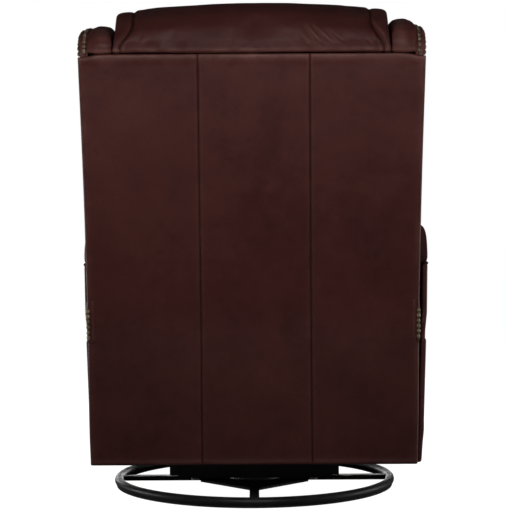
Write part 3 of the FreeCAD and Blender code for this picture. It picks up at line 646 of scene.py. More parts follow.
def rubber():
    p = Paint("floor_rubber")
    grain = p.noise(700.0, 4.0, 0.7)
    colour = p.ramp(p.noise(60.0, 4.0), [(0.3, (0.010, 0.010, 0.010)), (0.7, (0.022, 0.021, 0.020))])
    return p.finish(colour, p.span(grain, 0.3, 0.7, 0.72, 0.9), p.bump(grain, 0.3, 0.0005), Specular_IOR_Level=0.3)


def plastic(name, dark, pale, rough_a, rough_b):
    p = Paint(name)
    grain = p.noise(1100.0, 2.0, 0.5)
    colour = p.ramp(p.noise(35.0, 4.0), [(0.3, dark), (0.7, pale)])
    return p.finish(colour, p.span(grain, 0.3, 0.7, rough_a, rough_b), p.bump(grain, 0.22, 0.0004))


def wood():
    p = Paint("frame_hardwood")
    along = p.stretched((1.0, 1.0, 0.12))
    rings = p.noise(60.0, 5.0, 0.6, along, 1.2)
    pores = p.span(p.noise(420.0, 3.0, 0.7, along), 0.56, 0.66, 0.0, 1.0)
    colour = p.ramp(rings, [(0.28, (0.19, 0.105, 0.048)), (0.5, (0.33, 0.205, 0.105)), (0.72, (0.45, 0.305, 0.170))])
    colour = p.mix(p.math("MULTIPLY", pores, 0.45), colour, (0.10, 0.055, 0.025))
    rough = p.span(rings, 0.3, 0.7, 0.70, 0.55)
    return p.finish(colour, rough, p.bump(p.math("SUBTRACT", rings, pores), 0.2, 0.0006), Specular_IOR_Level=0.3)


THREAD, BRASS, BLACK, ZINC, WOOD = thread_material(), brass_material(), steel_black(), steel_zinc(), wood()
SLOT_LOOK = {
    "oxblood_leather": HIDE,
    "nail_brass": BRASS,
    "black_steel": BLACK,
    "zinc_steel": ZINC,
    "floor_rubber": rubber(),
    "bush_plastic": plastic("bush_nylon", (0.42, 0.40, 0.34), (0.60, 0.58, 0.52), 0.42, 0.58),
    "handle_plastic": plastic("handle_nylon", (0.008, 0.008, 0.008), (0.018, 0.018, 0.018), 0.38, 0.55),
    "frame_wood": WOOD,
}
for part in frame["record"]["subparts"]:
    node = NODES[part["node"]]
    look = SLOT_LOOK[part["material_slot"]]
    if not node.material_slots:
        node.data.materials.append(look)
    for s in node.material_slots:
        s.material = look


# ---------------------------------------------------------------- cloth

SIMS = []


def inflate(obj, held, pressure=4.0, cap=20.0, grow=0.0, stiff=12.0, bend=2.0):
    """Marks a closed piece to be blown up as cloth; the points in held stay where they are."""
    SIMS.append((obj, np.asarray(held, bool), pressure, cap, grow, stiff, bend))


def run_cloth():
    """All marked pieces together, 20 frames, with each point's move softly limited."""
    if not SIMS:
        return
    for obj, held, pressure, cap, grow, stiff, bend in SIMS:
        group = obj.vertex_groups.new(name="held")
        group.add([int(i) for i in np.nonzero(held)[0]], 1.0, "REPLACE")
        c = obj.modifiers.new("cloth", "CLOTH")
        s = c.settings
        s.quality = 5
        s.mass = 0.35
        s.air_damping = 2.0
        s.tension_stiffness = s.compression_stiffness = stiff
        s.shear_stiffness = stiff * 0.4
        s.bending_stiffness = bend
        s.tension_damping = s.compression_damping = s.shear_damping = 8.0
        s.use_pressure = True
        s.uniform_pressure_force = pressure
        s.shrink_min = -grow
        s.vertex_group_mass = "held"
        s.effector_weights.gravity = 0.0
        c.collision_settings.use_collision = False
        c.collision_settings.use_self_collision = False
    for f in range(1, 21):
        scene.frame_set(f)
    dg = bpy.context.evaluated_depsgraph_get()
    for obj, held, pressure, cap, *_ in SIMS:
        rest = coords(obj)
        e = obj.evaluated_get(dg)
        a = np.empty(len(rest) * 3, np.float32)
        e.data.vertices.foreach_get("co", a)
        move = a.reshape(-1, 3).astype(float) / MM - rest
        size = np.linalg.norm(move, axis=1)
        keep = np.where(size > 1e-6, cap * np.tanh(size / cap) / np.maximum(size, 1e-6), 1.0)
        print("cloth", obj.name, len(rest), "points, moved up to", round(float(size.max()), 1), "mm")
        obj["moved"] = float(size.max())
        SIM_RESULT[obj.name] = rest + move * keep[:, None]
    scene.frame_set(1)
    for obj, *_ in SIMS:
        obj.modifiers.clear()
        obj.vertex_groups.clear()
        set_coords(obj, SIM_RESULT[obj.name])


SIM_RESULT = {}


# ---------------------------------------------------------------- outside back: one hide over frame and body

RAKE = math.tan(math.radians(8.5))
HEM = 103.0


def seam_left(z):
    return 114.1 + 1.8 * (np.asarray(z, float) - 104) / 896


def seam_right(z):
    return -128.5 + 5.0 * (np.asarray(z, float) - 104) / 896



def rear(z):
    """Y of the outside back at a height: upright below, leaning back above the fold."""
    z = np.asarray(z, float)
    k = 20.0
    return 371.0 + RAKE * k * np.log1p(np.exp(np.clip((z - 430.0) / k, -60, 60)))


def half_width(z):
    return soft_table(z, [(0, 357), (98, 359.5), (150, 362), (220, 363), (380, 363.8), (560, 365), (680, 366), (780, 367.5), (880, 369.5), (980, 371.8), (1200, 372)], 60)


def skin_columns():
    """Offsets in mm from a seam or edge, spaced closely near it."""
    near = [0.0, 1.0, 2.0, 3.2, 5.0, 7.5, 11.0, 16.0, 23.0]
    return near


def make_skin():
    corner, leg = 8.0, 8.0
    near = skin_columns()
    zs_flat = np.concatenate([
        np.array([108.5, 112.0, 117.0, 124.0]), np.linspace(134, 372, 26), np.linspace(380, 470, 22), np.linspace(482, 960, 46),
        np.array([968, 974, 979, 984, 988, 991, 993.7, 995.7]),
    ])
    rows = [("hem", 0.0), ("hem", 0.25), ("hem", 0.5), ("hem", 0.75)] + [("flat", z) for z in zs_flat] + [("top", t) for t in (0.25, 0.5, 0.75, 1.0, 1.5)]
    grid = []
    for kind, value in rows:
        if kind == "flat":
            z, back = value, 0.0
        elif kind == "hem":
            a = value * math.pi / 2
            z, back = HEM + 5.5 - 5.5 * math.sin(a), 5.5 * (1 - math.cos(a)) if value else 0.0
            a = (1 - value) * math.pi / 2
            z, back = HEM + 5.5 * (1 - math.sin(a)) + 0.0, 5.5 * (1 - math.cos(a)) + 0.0
        else:
            t = min(value, 1.0)
            a = t * math.pi / 2
            z, back = 995.7 + 3.4 * math.sin(a), 3.4 * (1 - math.cos(a)) + max(0.0, value - 1.0) * 12
        w = float(half_width(z))
        y0 = float(rear(z)) - back
        flat_w = w - corner
        right, left = -flat_w, flat_w
        cols = []
        marks = [right, float(seam_right(z)), float(seam_left(z)), left]
        for i in range(3):
            a, b = marks[i], marks[i + 1]
            span = b - a
            lo = near if i > 0 else [0.0, 6.0, 14.0]
            hi = near if i < 2 else [0.0, 6.0, 14.0]
            middle = np.linspace(a + lo[-1], b - hi[-1], 13 if i != 1 else 15)[1:-1]
            xs = [a + o for o in lo] + list(middle) + [b - o for o in reversed(hi)]
            cols += xs if i == 0 else xs[1:]
        line = []
        for t in (1.0, 0.5):
            line.append((-w, y0 - corner - leg * t, z))
        for a in np.linspace(0, math.pi / 2, 6)[:-1]:
            line.append((-(flat_w + corner * math.cos(a)), y0 - corner + corner * math.sin(a), z))
        line += [(x, y0, z) for x in cols]
        for a in np.linspace(math.pi / 2, 0, 6)[1:]:
            line.append((flat_w + corner * math.cos(a), y0 - corner + corner * math.sin(a), z))
        for t in (0.5, 1.0):
            line.append((w, y0 - corner - leg * t, z))
        grid.append(line)
    grid = np.array(grid)
    nr, nc = grid.shape[:2]
    p = grid.reshape(-1, 3)
    x, z = p[:, 0], p[:, 2]
    w = half_width(z)
    facing = ease((w - np.abs(x)) / 14.0)
    sl, sr = seam_left(z), seam_right(z)
    s1, s2 = np.abs(x - sl), np.abs(x - sr)
    wobble = 1.0 + 0.35 * noise(np.column_stack([x * 0, x * 0, z]), 34, 3)
    groove = np.zeros(len(p))
    for s in (s1, s2):
        groove += -1.6 * bell(s, 1.6) + (0.55 * bell(s - 5.5, 4.2)) * wobble
    # the hide lies a little proud between seams and is drawn in at them
    third = np.where(x > sl, (x - sl) / (w - sl), np.where(x < sr, (sr - x) / (w + sr), (x - sr) / (sl - sr)))
    crown = 1.5 * np.sin(np.clip(third, 0, 1) * math.pi) * ease((z - 108) / 60) * ease((996 - z) / 40)
    waves = 1.1 * noise(p * (1.0, 0.2, 0.55), 130, 5) + 0.45 * noise(p * (1.0, 0.3, 0.6), 48, 6) + 0.14 * noise(p, 19, 7)
    waves *= ease((z - 106) / 40)
    folds = 0.9 * (bell(x + 343 + 5 * noise(p, 90, 9), 6) - 0.7 * bell(x + 331, 7)) * ease((z - 130) / 40) * ease((400 - z) / 60)
    folds += 0.5 * bell(x - 338 + 4 * noise(p, 80, 10), 7) * ease((z - 130) / 60) * ease((360 - z) / 60)
    # the puffed edge under the top seam, drawn at each stitch, with puckers at the corners
    pull = noise(np.column_stack([x, x * 0, x * 0]), 26, 11) * 0.8 + noise(np.column_stack([x, x * 0, x * 0]), 9.5, 12) * 0.5
    puff = (2.7 + 1.3 * pull) * np.where(z < 988, bell(z - 988, 9), bell(z - 988, 9))
    pucker = 0.9 * pull * ease((z - 962) / 28) * (0.4 + 1.2 * ease((np.abs(x) - 270) / 80))
    hemroll = 1.7 * bell(z - 109, 5.0)
    p = p.copy()
    p[:, 1] += facing * (groove * ease((z - 104) / 6) + crown + waves + folds + puff + pucker) + hemroll
    dip = 6.0 * ease((np.abs(x) - 322) / 46) * ease((z - 970) / 24)
    p[:, 2] -= dip
    # Lighter colour: painted highlights along the hide's top edge under the seam and on the puff below it; beside the
    # upright seams, rubbing partly standing in for highlights on the puffs; lighter along the hem and the side edges.
    wear = 0.20 * bell(z - 988, 9) + (0.62 + 0.25 * pull) * bell(z - 994.5, 2.6) + 0.30 * bell(z - 106, 5) + 0.10 * (bell(s1 - 5, 4) + bell(s2 - 5, 4)) + 0.22 * bell(np.abs(x) - w + 5, 7)
    wear = wear * (0.75 + 0.5 * noise(p, 60, 13))
    # Painted shade: darker in the grooves of the upright seams and where the hide turns into the top seam.
    dirt = 0.95 * np.maximum(bell(s1, 1.3), bell(s2, 1.3)) * facing + 0.9 * ease((z - 998.0) / 1.6)
    faces = [(r * nc + c, r * nc + c + 1, (r + 1) * nc + c + 1, (r + 1) * nc + c) for r in range(nr - 1) for c in range(nc - 1)]
    b = Build()
    b.add(p, faces, 0, np.clip(wear, 0, 1), np.clip(dirt, 0, 1))
    skin = b.make("outside_back_hide", [HIDE, THREAD], outward=False)
    # outward is +Y
    bm = bmesh.new()
    bm.from_mesh(skin.data)
    bm.normal_update()
    if sum(f.normal.y * f.calc_area() for f in bm.faces) < 0:
        bmesh.ops.reverse_faces(bm, faces=bm.faces)
    bm.to_mesh(skin.data)
    bm.free()
    m = skin.modifiers.new("sub", "SUBSURF")
    m.levels = m.render_levels = 1
    m = skin.modifiers.new("hide", "SOLIDIFY")
    m.thickness, m.offset, m.use_even_offset = 2.6 * MM, -1.0, False
    settle(skin)

    # thread along both sides of the upright seams
    rows_z = np.linspace(116, 978, 220)
    surface = grid_surface(p, nr, nc)
    extra = Build()
    for seam in (seam_left, seam_right):
        for off in (-6.2, 6.2):
            path = np.array([(float(seam(z)) + off, surface(float(seam(z)) + off, z) + 0.05, z) for z in rows_z])
            add_stitches(extra, path, (0, 1, 0), pitch=6.4, long=4.6, radius=0.5, mat=0)
    threads = extra.make("outside_back_thread", [THREAD])
    return skin, threads


def grid_surface(p, nr, nc):
    """A reader of the hide's rear face: Y at (x, z)."""
    g = p.reshape(nr, nc, 3)
    zs = g[:, nc // 2, 2]

    def at(x, z):
        r = int(np.clip(np.searchsorted(zs, z) - 1, 0, nr - 2))
        t = (z - zs[r]) / max(zs[r + 1] - zs[r], 1e-6)
        ya = np.interp(x, g[r, 7:-7, 0], g[r, 7:-7, 1])
        yb = np.interp(x, g[r + 1, 7:-7, 0], g[r + 1, 7:-7, 1])
        return ya + (yb - ya) * t

    return at


skin, threads = make_skin()


# ---------------------------------------------------------------- head pillow and crown

PILLOW = [(139, 708), (140, 752), (150, 832), (162, 912), (184, 982), (218, 1046), (266, 1087), (330, 1109.5), (362, 1112), (404, 1104.5), (438, 1082), (460, 1051),
          (468.5, 1028), (468, 1012), (464, 1003.5), (456, 1001.2), (440, 1001.0), (400, 1001.0), (380, 1001.0), (368, 930), (352, 820), (336, 708), (318, 703.5), (240, 703.5), (152, 703.5)]


def make_pillow():
    ring = graded(chaikin(densify(PILLOW, 12), 2), lambda q: np.where((q[:, 0] > 425) & (q[:, 1] < 1024), 2.2, 8.5))
    n = len(ring)
    ry, rz = ring[:, 0], ring[:, 1]
    centre = np.array([300.0, 900.0])
    # outward direction of the ring
    ring_ccw = counterclockwise(ring)
    out = -inward(ring_ccw)
    ring = ring_ccw
    ry, rz = ring[:, 0], ring[:, 1]
    upper = ease((rz - 1003) / 78)
    x1 = 284 - 29 * ease((rz - 1000) / 82)
    x2 = 295.5 - 6.5 * ease((rz - 1000) / 82)
    u = np.concatenate([np.linspace(-1, 1, 61)])
    columns = []
    for t in u:
        columns.append(("main", t))
    gus = [(0.10, 0.2), (0.28, 1.8), (0.52, 2.6), (0.76, 1.6), (0.92, -0.4), (1.0, -2.8)]
    sections, wear_rows, dirt_rows, tags = [], [], [], []

    def section(x, drop, push, wear, dirt, tag):
        y = ry + out[:, 0] * push
        z = rz + out[:, 1] * push - drop
        sections.append(np.column_stack([x, y, z]))
        wear_rows.append(np.broadcast_to(wear, (n,)))
        dirt_rows.append(np.broadcast_to(dirt, (n,)))
        tags.append(np.full(n, tag))

    def drop_at(x):
        # a little lower at one end than at the other
        return np.where(np.asarray(x) > 0, 18.0, 13.0) * (np.abs(x) / 270.0) ** 2.4 * upper

    for sign in (-1,):
        for t, push in reversed(gus):
            x = sign * (x1 + (x2 + 3.0 * upper - x1) * t)
            section(x, drop_at(np.maximum(x, -272)), push * np.ones(n), 0.35 if t < 0.2 else 0.12, 0.0, 2 if t < 1 else 3)
    for _, t in columns:
        x = t * x1
        near = np.abs(np.abs(x) - x1)
        push = -3.4 * bell(near, 2.0) + 1.2 * bell(near - 9, 7)
        # Painted shade in the seam groove where the crown meets each gusset; lighter on the puff beside it.
        section(x, drop_at(x), push, 0.25 * bell(near - 8, 6), 0.9 * bell(near, 1.4), 1 if abs(abs(t) - 1) < 1e-9 else 0)
    for t, push in gus:
        x = x1 + (x2 + 3.0 * upper - x1) * t
        section(x, drop_at(np.minimum(np.abs(x), 272)), push * np.ones(n), 0.35 if t < 0.2 else 0.12, 0.0, 2 if t < 1 else 3)
    m = len(sections)
    points = np.vstack(sections)
    faces = [(i * n + k, i * n + (k + 1) % n, (i + 1) * n + (k + 1) % n, (i + 1) * n + k) for i in range(m - 1) for k in range(n)]
    wear, dirt, tag = np.concatenate(wear_rows), np.concatenate(dirt_rows), np.concatenate(tags)
    # the ends: rings that close to a line in the middle of the gusset
    for end in (0, m - 1):
        prev = list(range(end * n, end * n + n))
        base = sections[end]
        spine_y = np.clip(base[:, 1], 250, 330)
        spine = np.column_stack([base[:, 0], spine_y, np.clip(base[:, 2], 780, 1000)])
        sign = -1 if end == 0 else 1
        for share in (0.10, 0.30, 0.55, 0.8):
            q = base + (spine - base) * share
            q[:, 0] = base[:, 0] * (1 - share) + share * sign * 295.0
            q[:, 0] = sign * np.minimum(np.abs(q[:, 0]), 295.5)
            start = len(points)
            points = np.vstack([points, q])
            wear, dirt, tag = np.concatenate([wear, np.zeros(n)]), np.concatenate([dirt, np.zeros(n)]), np.concatenate([tag, np.full(n, 4)])
            now = list(range(start, start + n))
            faces += [(prev[k], prev[(k + 1) % n], now[(k + 1) % n], now[k]) for k in range(n)]
            prev = now
        faces.append(tuple(prev))
    b = Build()
    b.add(points, faces, 0, wear, dirt)
    pillow = b.make("head_pillow_cover", [HIDE])
    p = coords(pillow)
    held = (tag >= 1) | (p[:, 2] < 712) | ((p[:, 1] > 372) & (p[:, 2] < 1003))
    rear_line = (p[:, 1] > 335) & (p[:, 2] < 995)
    inflate(pillow, held | rear_line, pressure=3.2, cap=7.0, grow=0.012, bend=3.0)
    return pillow, ring, x1, x2, drop_at, tag


pillow, pillow_ring, pillow_x1, pillow_x2, pillow_drop, pillow_tag = make_pillow()


# ---------------------------------------------------------------- wings

WING_PANEL = [(360.5, 440), (443.4, 991), (442, 1008), (435, 1025), (411, 1045), (362, 1058), (310, 1062), (240, 1060), (182, 1047), (136, 1018), (107, 973), (95, 926), (97, 870),
              (107, 815), (129, 762), (161, 717), (200, 681), (240, 659), (275, 646), (275, 430), (276, 418), (282, 404), (292, 393), (306, 386), (322, 383.5), (338, 386),
              (350, 393), (358, 404), (361, 418)]
WING_PAD = [(327.5, 652), (380, 1001.2), (453, 1001.2), (455.5, 1008), (455, 1022), (447, 1040), (432, 1051), (402, 1061), (352, 1069.5), (306, 1072.5), (236, 1070), (174, 1057), (122, 1027.5), (91, 982), (77, 928), (79, 866),
            (90, 806), (114, 750.5), (149, 703), (193, 665.5), (236, 647)]


def wing_out(z, y=0.0):
    """X of the outer face of a wing, set in a little where the hide laps its rear edge."""
    z = np.asarray(z, float)
    lap = ease((np.asarray(y, float) - rear(z) + 70) / 40) * ease((1004 - z) / 16)
    return half_width(z) - 1.5 - 3.9 * lap


def make_wings():
    loop = rounded(WING_PANEL, 10, 2)
    s = slab(loop, 0.0, 16.0, 2.0, 3.4, crown_hi=1.8, reach=55, rows=3, step=6, grid=13)
    a, b, w = s["points"].T
    p = np.column_stack([a, b, w * 0])
    x = 352.2 + w / 16.0 * (wing_out(b, a) - 352.2) + (s["side"] > 0) * (0.7 * noise(p, 70, 21) + 0.25 * noise(p, 26, 22)) * ease(s["depth"] / 20)
    rim = bell(s["depth"], 7) * (s["side"] >= 0)
    build = Build().add(np.column_stack([x, a, b]), s["faces"], 0, 0.30 * rim * (0.8 + 0.5 * noise(p, 45, 23)), 0)
    panel = build.make("wing_panel_left_cover", [HIDE])

    loop = graded(chaikin(densify(WING_PAD, 6), 2), lambda q: np.where((q[:, 0] > 425) & (q[:, 1] < 1045), 3.0, 7.5))

    def roll(at):
        # a full round over the top and front, nearly square where the rear end stands on the top seam
        return 3.0 + 22.6 * np.maximum(ease((at[:, 1] - 1024) / 38), ease((400 - at[:, 0]) / 60))

    def roll_out(at):
        # the outer side meets the panel, so it is only eased
        return 3.0 + 8.0 * np.maximum(ease((at[:, 1] - 1024) / 38), ease((400 - at[:, 0]) / 60))

    s = slab(loop, 0.0, 53.6, roll_out, roll, crown_hi=1.0, reach=120, rows=7, bulge=2.6, step=None, grid=14)
    a, b, w = s["points"].T
    x = 351.4 - w
    build = Build().add(np.column_stack([x, a, b]), s["faces"])
    pad = build.make("wing_pad_left_cover", [HIDE])
    held = (s["points"][:, 2] < 12) | ((a > 330) & (b < 1000) & (s["depth"] < 40)) | ((b < 1004) & (a > 372))
    inflate(pad, held, pressure=3.0, cap=6.0, grow=0.02, bend=3.0)
    return panel, pad


wing_panel, wing_pad = make_wings()


# ---------------------------------------------------------------- arms

ARM_ROLL = [(264.6, 374), (264.4, 430), (264.4, 500), (264.6, 560), (265.5, 584), (272, 604), (290, 620), (326, 626), (360, 621), (379, 608), (385.8, 588), (386.4, 565), (386.2, 546), (382, 541.6),
            (350, 541.6), (310, 542), (284, 542), (276.4, 538), (275.2, 500), (275.2, 430), (275.2, 374)]


def arm_out(z):
    return soft_table(z, [(0, 367), (103, 368), (175, 378), (380, 384), (540, 386), (700, 386)], 14)


def make_arm():
    ring = counterclockwise(resample(chaikin(densify(ARM_ROLL, 16), 2), 8.0))
    n = len(ring)
    out = -inward(ring)
    ys = np.concatenate([[-455.0, -454.2, -452.0], np.linspace(-446, 252, 76), [258.5, 261.0, 261.8]])
    shrink = np.concatenate([[-4.0, -1.4, -0.3], np.zeros(76), [-0.4, -1.6, -4.5]])
    sections = []
    for y, k in zip(ys, shrink):
        sections.append(np.column_stack([ring[:, 0] + out[:, 0] * k, np.full(n, y), ring[:, 1] + out[:, 1] * k]))
    m = len(sections)
    points = np.vstack(sections)
    faces = [(i * n + k, i * n + (k + 1) % n, (i + 1) * n + (k + 1) % n, (i + 1) * n + k) for i in range(m - 1) for k in range(n)]
    faces += [tuple(range(n)), tuple(reversed(range((m - 1) * n, m * n)))]
    build = Build().add(points, faces)
    arm = build.make("arm_pad_left_cover", [HIDE])
    p = coords(arm)
    bm = bmesh.new()
    bm.from_mesh(arm.data)
    bmesh.ops.triangulate(bm, faces=[f for f in bm.faces if len(f.verts) > 4])
    bm.to_mesh(arm.data)
    bm.free()
    held = (p[:, 2] < 546) | (p[:, 1] < -451) | (p[:, 1] > 257)
    inflate(arm, held, pressure=2.6, cap=5.0, grow=0.02, bend=3.0)

    loop = [(-455, 104), (353, 104), (353, 385), (348, 381.2), (338, 377.5), (322, 375.5), (306, 377.5), (292, 383), (280, 394), (272, 408), (268, 424), (266, 440), (266, 540), (-455, 540)]
    s = slab(rounded(loop, 9, 2), 0.0, 12.0, 3.5, 5.5, crown_hi=2.4, reach=110, rows=2, step=7, grid=15)
    a, b, w = s["points"].T
    q = np.column_stack([a, b, w * 0])
    drawn = 9.5 * ease((a - 185) / 168) * table(b, [(104, 0.5), (150, 0.85), (200, 1.0), (388, 1.0), (430, 0.0)])
    x = arm_out(b) - drawn - 12.0 + w + (s["side"] > 0) * (0.8 * noise(q, 110, 31) + 0.3 * noise(q, 40, 32)) * ease(s["depth"] / 25) - 2.4 * (s["side"] > 0) * ease(s["depth"] / 110) * 0.4
    rim = bell(s["depth"], 8) * (s["side"] >= 0)
    build = Build().add(np.column_stack([x, a, b]), s["faces"], 0, 0.28 * rim * (0.8 + 0.5 * noise(q, 45, 33)), 0)
    side = build.make("arm_outside_left_cover", [HIDE])

    loop = [(259, 104), (367, 104), (377, 175), (383, 380), (385, 541), (387, 579), (381.5, 606.5), (361.5, 622), (326, 628), (288.5, 622), (266.5, 604.5), (259, 571)]
    s = slab(rounded(loop, 9, 2), 0.0, 14.2, 5.0, 6.6, crown_hi=2.6, reach=45, rows=2, step=6, grid=12)
    a, b, w = s["points"].T
    q = np.column_stack([a, b, w * 0])
    y = -455.8 - w - (s["side"] > 0) * (0.5 * noise(q, 60, 41) + 0.2 * noise(q, 24, 42)) * ease(s["depth"] / 15)
    rim = bell(s["depth"], 7) * (s["side"] >= 0)
    build = Build().add(np.column_stack([a, y, b]), s["faces"], 0, 0.35 * rim * (0.8 + 0.5 * noise(q, 40, 43)), 0)
    front = build.make("arm_front_panel_left_cover", [HIDE])
    return arm, side, front, rounded(loop, 9, 2)


arm_pad, arm_side, arm_front, arm_front_loop = make_arm()


# ---------------------------------------------------------------- seat, lumbar and footrest cushions

def box_loop(x, y0, y1, r):
    """A rectangle with round corners, symmetric in x."""
    pts = []
    for cx, cy, a0 in ((x - r, y0 + r, -90), (x - r, y1 - r, 0), (-x + r, y1 - r, 90), (-x + r, y0 + r, 180)):
        for k in range(7):
            a = math.radians(a0 + 15 * k)
            pts.append((cx + r * math.cos(a), cy + r * math.sin(a)))
    return np.array(pts)


def make_seat():
    loop = box_loop(246.5, -458.5, 112, 34)
    s = slab(loop, 377.6, 478, 5.0, 7.0, crown_hi=7.0, reach=170, rows=8, bulge=2.0, step=9, grid=14)
    p = s["points"]
    build = Build().add(p, s["faces"])
    seat = build.make("seat_cushion_cover", [HIDE])
    held = np.zeros(len(p), bool)
    held[s["rim_hi"]] = True
    held[s["rim_lo"]] = True
    held |= s["side"] < 0
    inflate(seat, held, pressure=4.0, cap=16.0, grow=0.016, bend=3.5)
    return seat, s


def make_lumbar():
    loop = box_loop(253, 486.5, 697.5, 36)
    s = slab(loop, 0.0, 180.0, 6.0, 34.0, crown_hi=6.0, reach=95, rows=6, bulge=1.0, step=8.5, grid=13)
    a, b, w = s["points"].T
    y_rear = table(b, [(484, 300), (700, 331)])
    y_front = soft_table(b, [(400, 128), (484, 128), (534, 119), (584, 115), (644, 121), (700, 139), (760, 150)], 22)
    y = y_rear + (y_front - y_rear) * w / 180.0
    build = Build().add(np.column_stack([a, y, b]), s["faces"])
    lumbar = build.make("lumbar_cushion_cover", [HIDE])
    held = (s["side"] < 0) | (w < 130)
    inflate(lumbar, held, pressure=3.4, cap=9.0, grow=0.012, bend=3.5)
    return lumbar, s


def make_footrest():
    loop = box_loop(249, 130.5, 333.5, 24)
    s = slab(loop, 0.0, 43.0, 4.0, 16.0, crown_hi=5.0, reach=70, rows=3, bulge=0.6, step=8, grid=12)
    a, b, w = s["points"].T
    y = -413.4 - w
    build = Build().add(np.column_stack([a, y, b]), s["faces"])
    foot = build.make("footrest_pad_cover", [HIDE])
    held = (s["side"] < 0) | (w < 24)
    inflate(foot, held, pressure=3.6, cap=10.0, grow=0.014, bend=3.5)
    return foot, s


seat, seat_slab = make_seat()
lumbar, lumbar_slab = make_lumbar()
foot, foot_slab = make_footrest()

run_cloth()


# ---------------------------------------------------------------- after the cloth: seams, channels, wrinkles, worn edges, painted shade and painted highlights

def finish_pillow():
    p = coords(pillow)
    nrm = normals(pillow)
    x, y, z = p.T
    pull = noise(np.column_stack([x, x * 0, x * 0]), 24, 51) * 0.9 + noise(np.column_stack([x, x * 0, x * 0]), 9, 52) * 0.5
    puff = (2.2 + 0.8 * pull) * bell(z - 1006, 4.5) * (y > 430)
    wav = 1.3 * noise(p, 110, 53) + 0.5 * noise(p, 42, 54) + 0.16 * noise(p, 18, 55)
    inside = ease((270 - y) / 40)
    channel = np.zeros(len(p))
    for zc, deep in ((884, 13.0),):
        d = z - zc + 3.0 * np.sin(x / 90.0)
        channel += inside * (-deep * bell(d, 7.0) + 3.0 * bell(np.abs(d) - 24, 16)) * ease((287 - np.abs(x)) / 18)
        radial = noise(np.column_stack([x, x * 0, x * 0]), 15, 56) * bell(d, 38) * inside * 1.3
        channel += radial * ease(np.abs(d) / 8)
    free = np.where(pillow_tag >= 3, 0.0, 1.0)
    move = (puff + wav + channel) * free
    set_coords(pillow, p + nrm * move[:, None])
    # Painted highlight: a lighter line along the crown's lower edge just above the top seam.
    wear = painted(pillow, "wear") + (0.12 * bell(z - 1011, 9) + (0.6 + 0.25 * pull) * bell(z - 1006.5, 2.6)) * (y > 430) + 0.05 * ease((z - 1070) / 30)
    # Painted shade: the whole crown a little darker, darker still in the top seam groove and in the channel across the
    # pillow.
    dirt = painted(pillow, "dirt") + 0.20 * ease((z - 1003) / 3) * (y > 330) + 0.75 * ease((1002.4 - z) / 2.2) * (y > 436) + 0.6 * bell(z - 884 + 3.0 * np.sin(x / 90.0), 3.0) * inside
    wear = wear * (1 - 0.8 * ease((z - 1011) / 6) * (y > 330))
    paint(pillow, "wear", wear * (0.7 + 0.5 * noise(p, 55, 57)))
    paint(pillow, "dirt", dirt)
    subdivide(pillow)
    # pull lines from the top seam up over the crown, strongest on one side
    p, nrm = coords(pillow), normals(pillow)
    x, y, z = p.T
    h = np.maximum(z - 1000, 0)
    lines = np.zeros(len(p))
    for x0, lean, strength, width, low, high in (
        (-160, 0.69, 2.5, 4.5, 14, 74), (-186, 0.88, 2.3, 4.5, 12, 72), (-170, 0.62, 1.3, 4.0, 4, 34), (-222, 1.10, 1.9, 4.5, 14, 54), (-300, 0.59, 1.9, 4.5, 26, 84), (-268, 0.84, 1.7, 4.5, 8, 44), (-128, 0.5, 1.2, 5.5, 8, 54),
        (-90, 0.35, 0.8, 6.0, 4, 40), (-40, 0.2, 0.6, 6.0, 2, 32), (40, -0.2, 0.6, 6.0, 2, 34), (118, -0.3, 0.7, 6.0, 2, 38), (196, -0.4, 0.9, 6.0, 2, 46), (242, -0.45, 1.0, 5.5, 4, 50),
    ):
        along = ease((h - low) / 14) * ease((high - h) / 26)
        off = x - (x0 + lean * h + 1.6 * np.sin(h / 11.0 + x0))
        lines += strength * along * (bell(off, width) - 0.6 * bell(off - width * 1.8, width))
    lines *= ease((y - 300) / 50) * ease((h - 1) / 10)
    set_coords(pillow, p + nrm * lines[:, None])
    # Painted highlight: the ridges of the pull lines made lighter.
    paint(pillow, "wear", painted(pillow, "wear") + 0.35 * np.clip(lines / 2.2, 0, 1))


def finish_wings():
    p = coords(wing_pad)
    nrm = normals(wing_pad)
    x, y, z = p.T
    wav = 0.9 * noise(p, 80, 61) + 0.4 * noise(p, 32, 62) + 0.15 * noise(p, 15, 63)
    gather = noise(np.column_stack([y, x * 0, z]), 17, 64) * 0.8 * ease((x - 322) / 22)
    free = ease((350.5 - x) / 6)
    set_coords(wing_pad, p + nrm * ((wav + gather) * free)[:, None])
    edge = bell(x - 322, 18) * ease((np.abs(nrm[:, 0]) * -1 + 0.9) / 0.4)
    # Painted highlight: a lighter line along the wing's base over the top seam, with some lightening over the roll.
    paint(wing_pad, "wear", (0.30 * edge + 0.6 * bell(z - 1005.5, 2.6) * (y > 430)) * (0.7 + 0.6 * noise(p, 50, 65)))
    subdivide(wing_pad)


def finish_arm():
    p = coords(arm_pad)
    nrm = normals(arm_pad)
    x, y, z = p.T
    wav = 0.9 * noise(p * (1, 0.6, 1), 90, 71) + 0.4 * noise(p, 34, 72) + 0.13 * noise(p, 15, 73)
    # pleats drawn to the front panel round the roll
    angle = np.arctan2(z - 583, x - 326)
    pleat = 1.5 * np.sin(angle * 13 + 1.2 * noise(p, 40, 74)) * np.exp(-(y + 455) / 38) * ease((z - 545) / 12) * ease((y + 455) / 7)
    free = ease((y + 455) / 10) * ease((262 - y) / 10) * ease((z - 378) / 20)
    set_coords(arm_pad, p + nrm * ((wav * 0.9 + pleat) * free)[:, None])
    wear = 0.34 * ease((z - 606) / 16) + 0.2 * bell(y + 452, 12) * ease((z - 545) / 20)
    paint(arm_pad, "wear", wear * (0.65 + 0.6 * noise(p, 60, 75)))
    # Painted shade: darker in the joint under the outer side of the roll.
    paint(arm_pad, "dirt", 0.5 * bell(z - 545, 5) * (x > 300))
    subdivide(arm_pad)


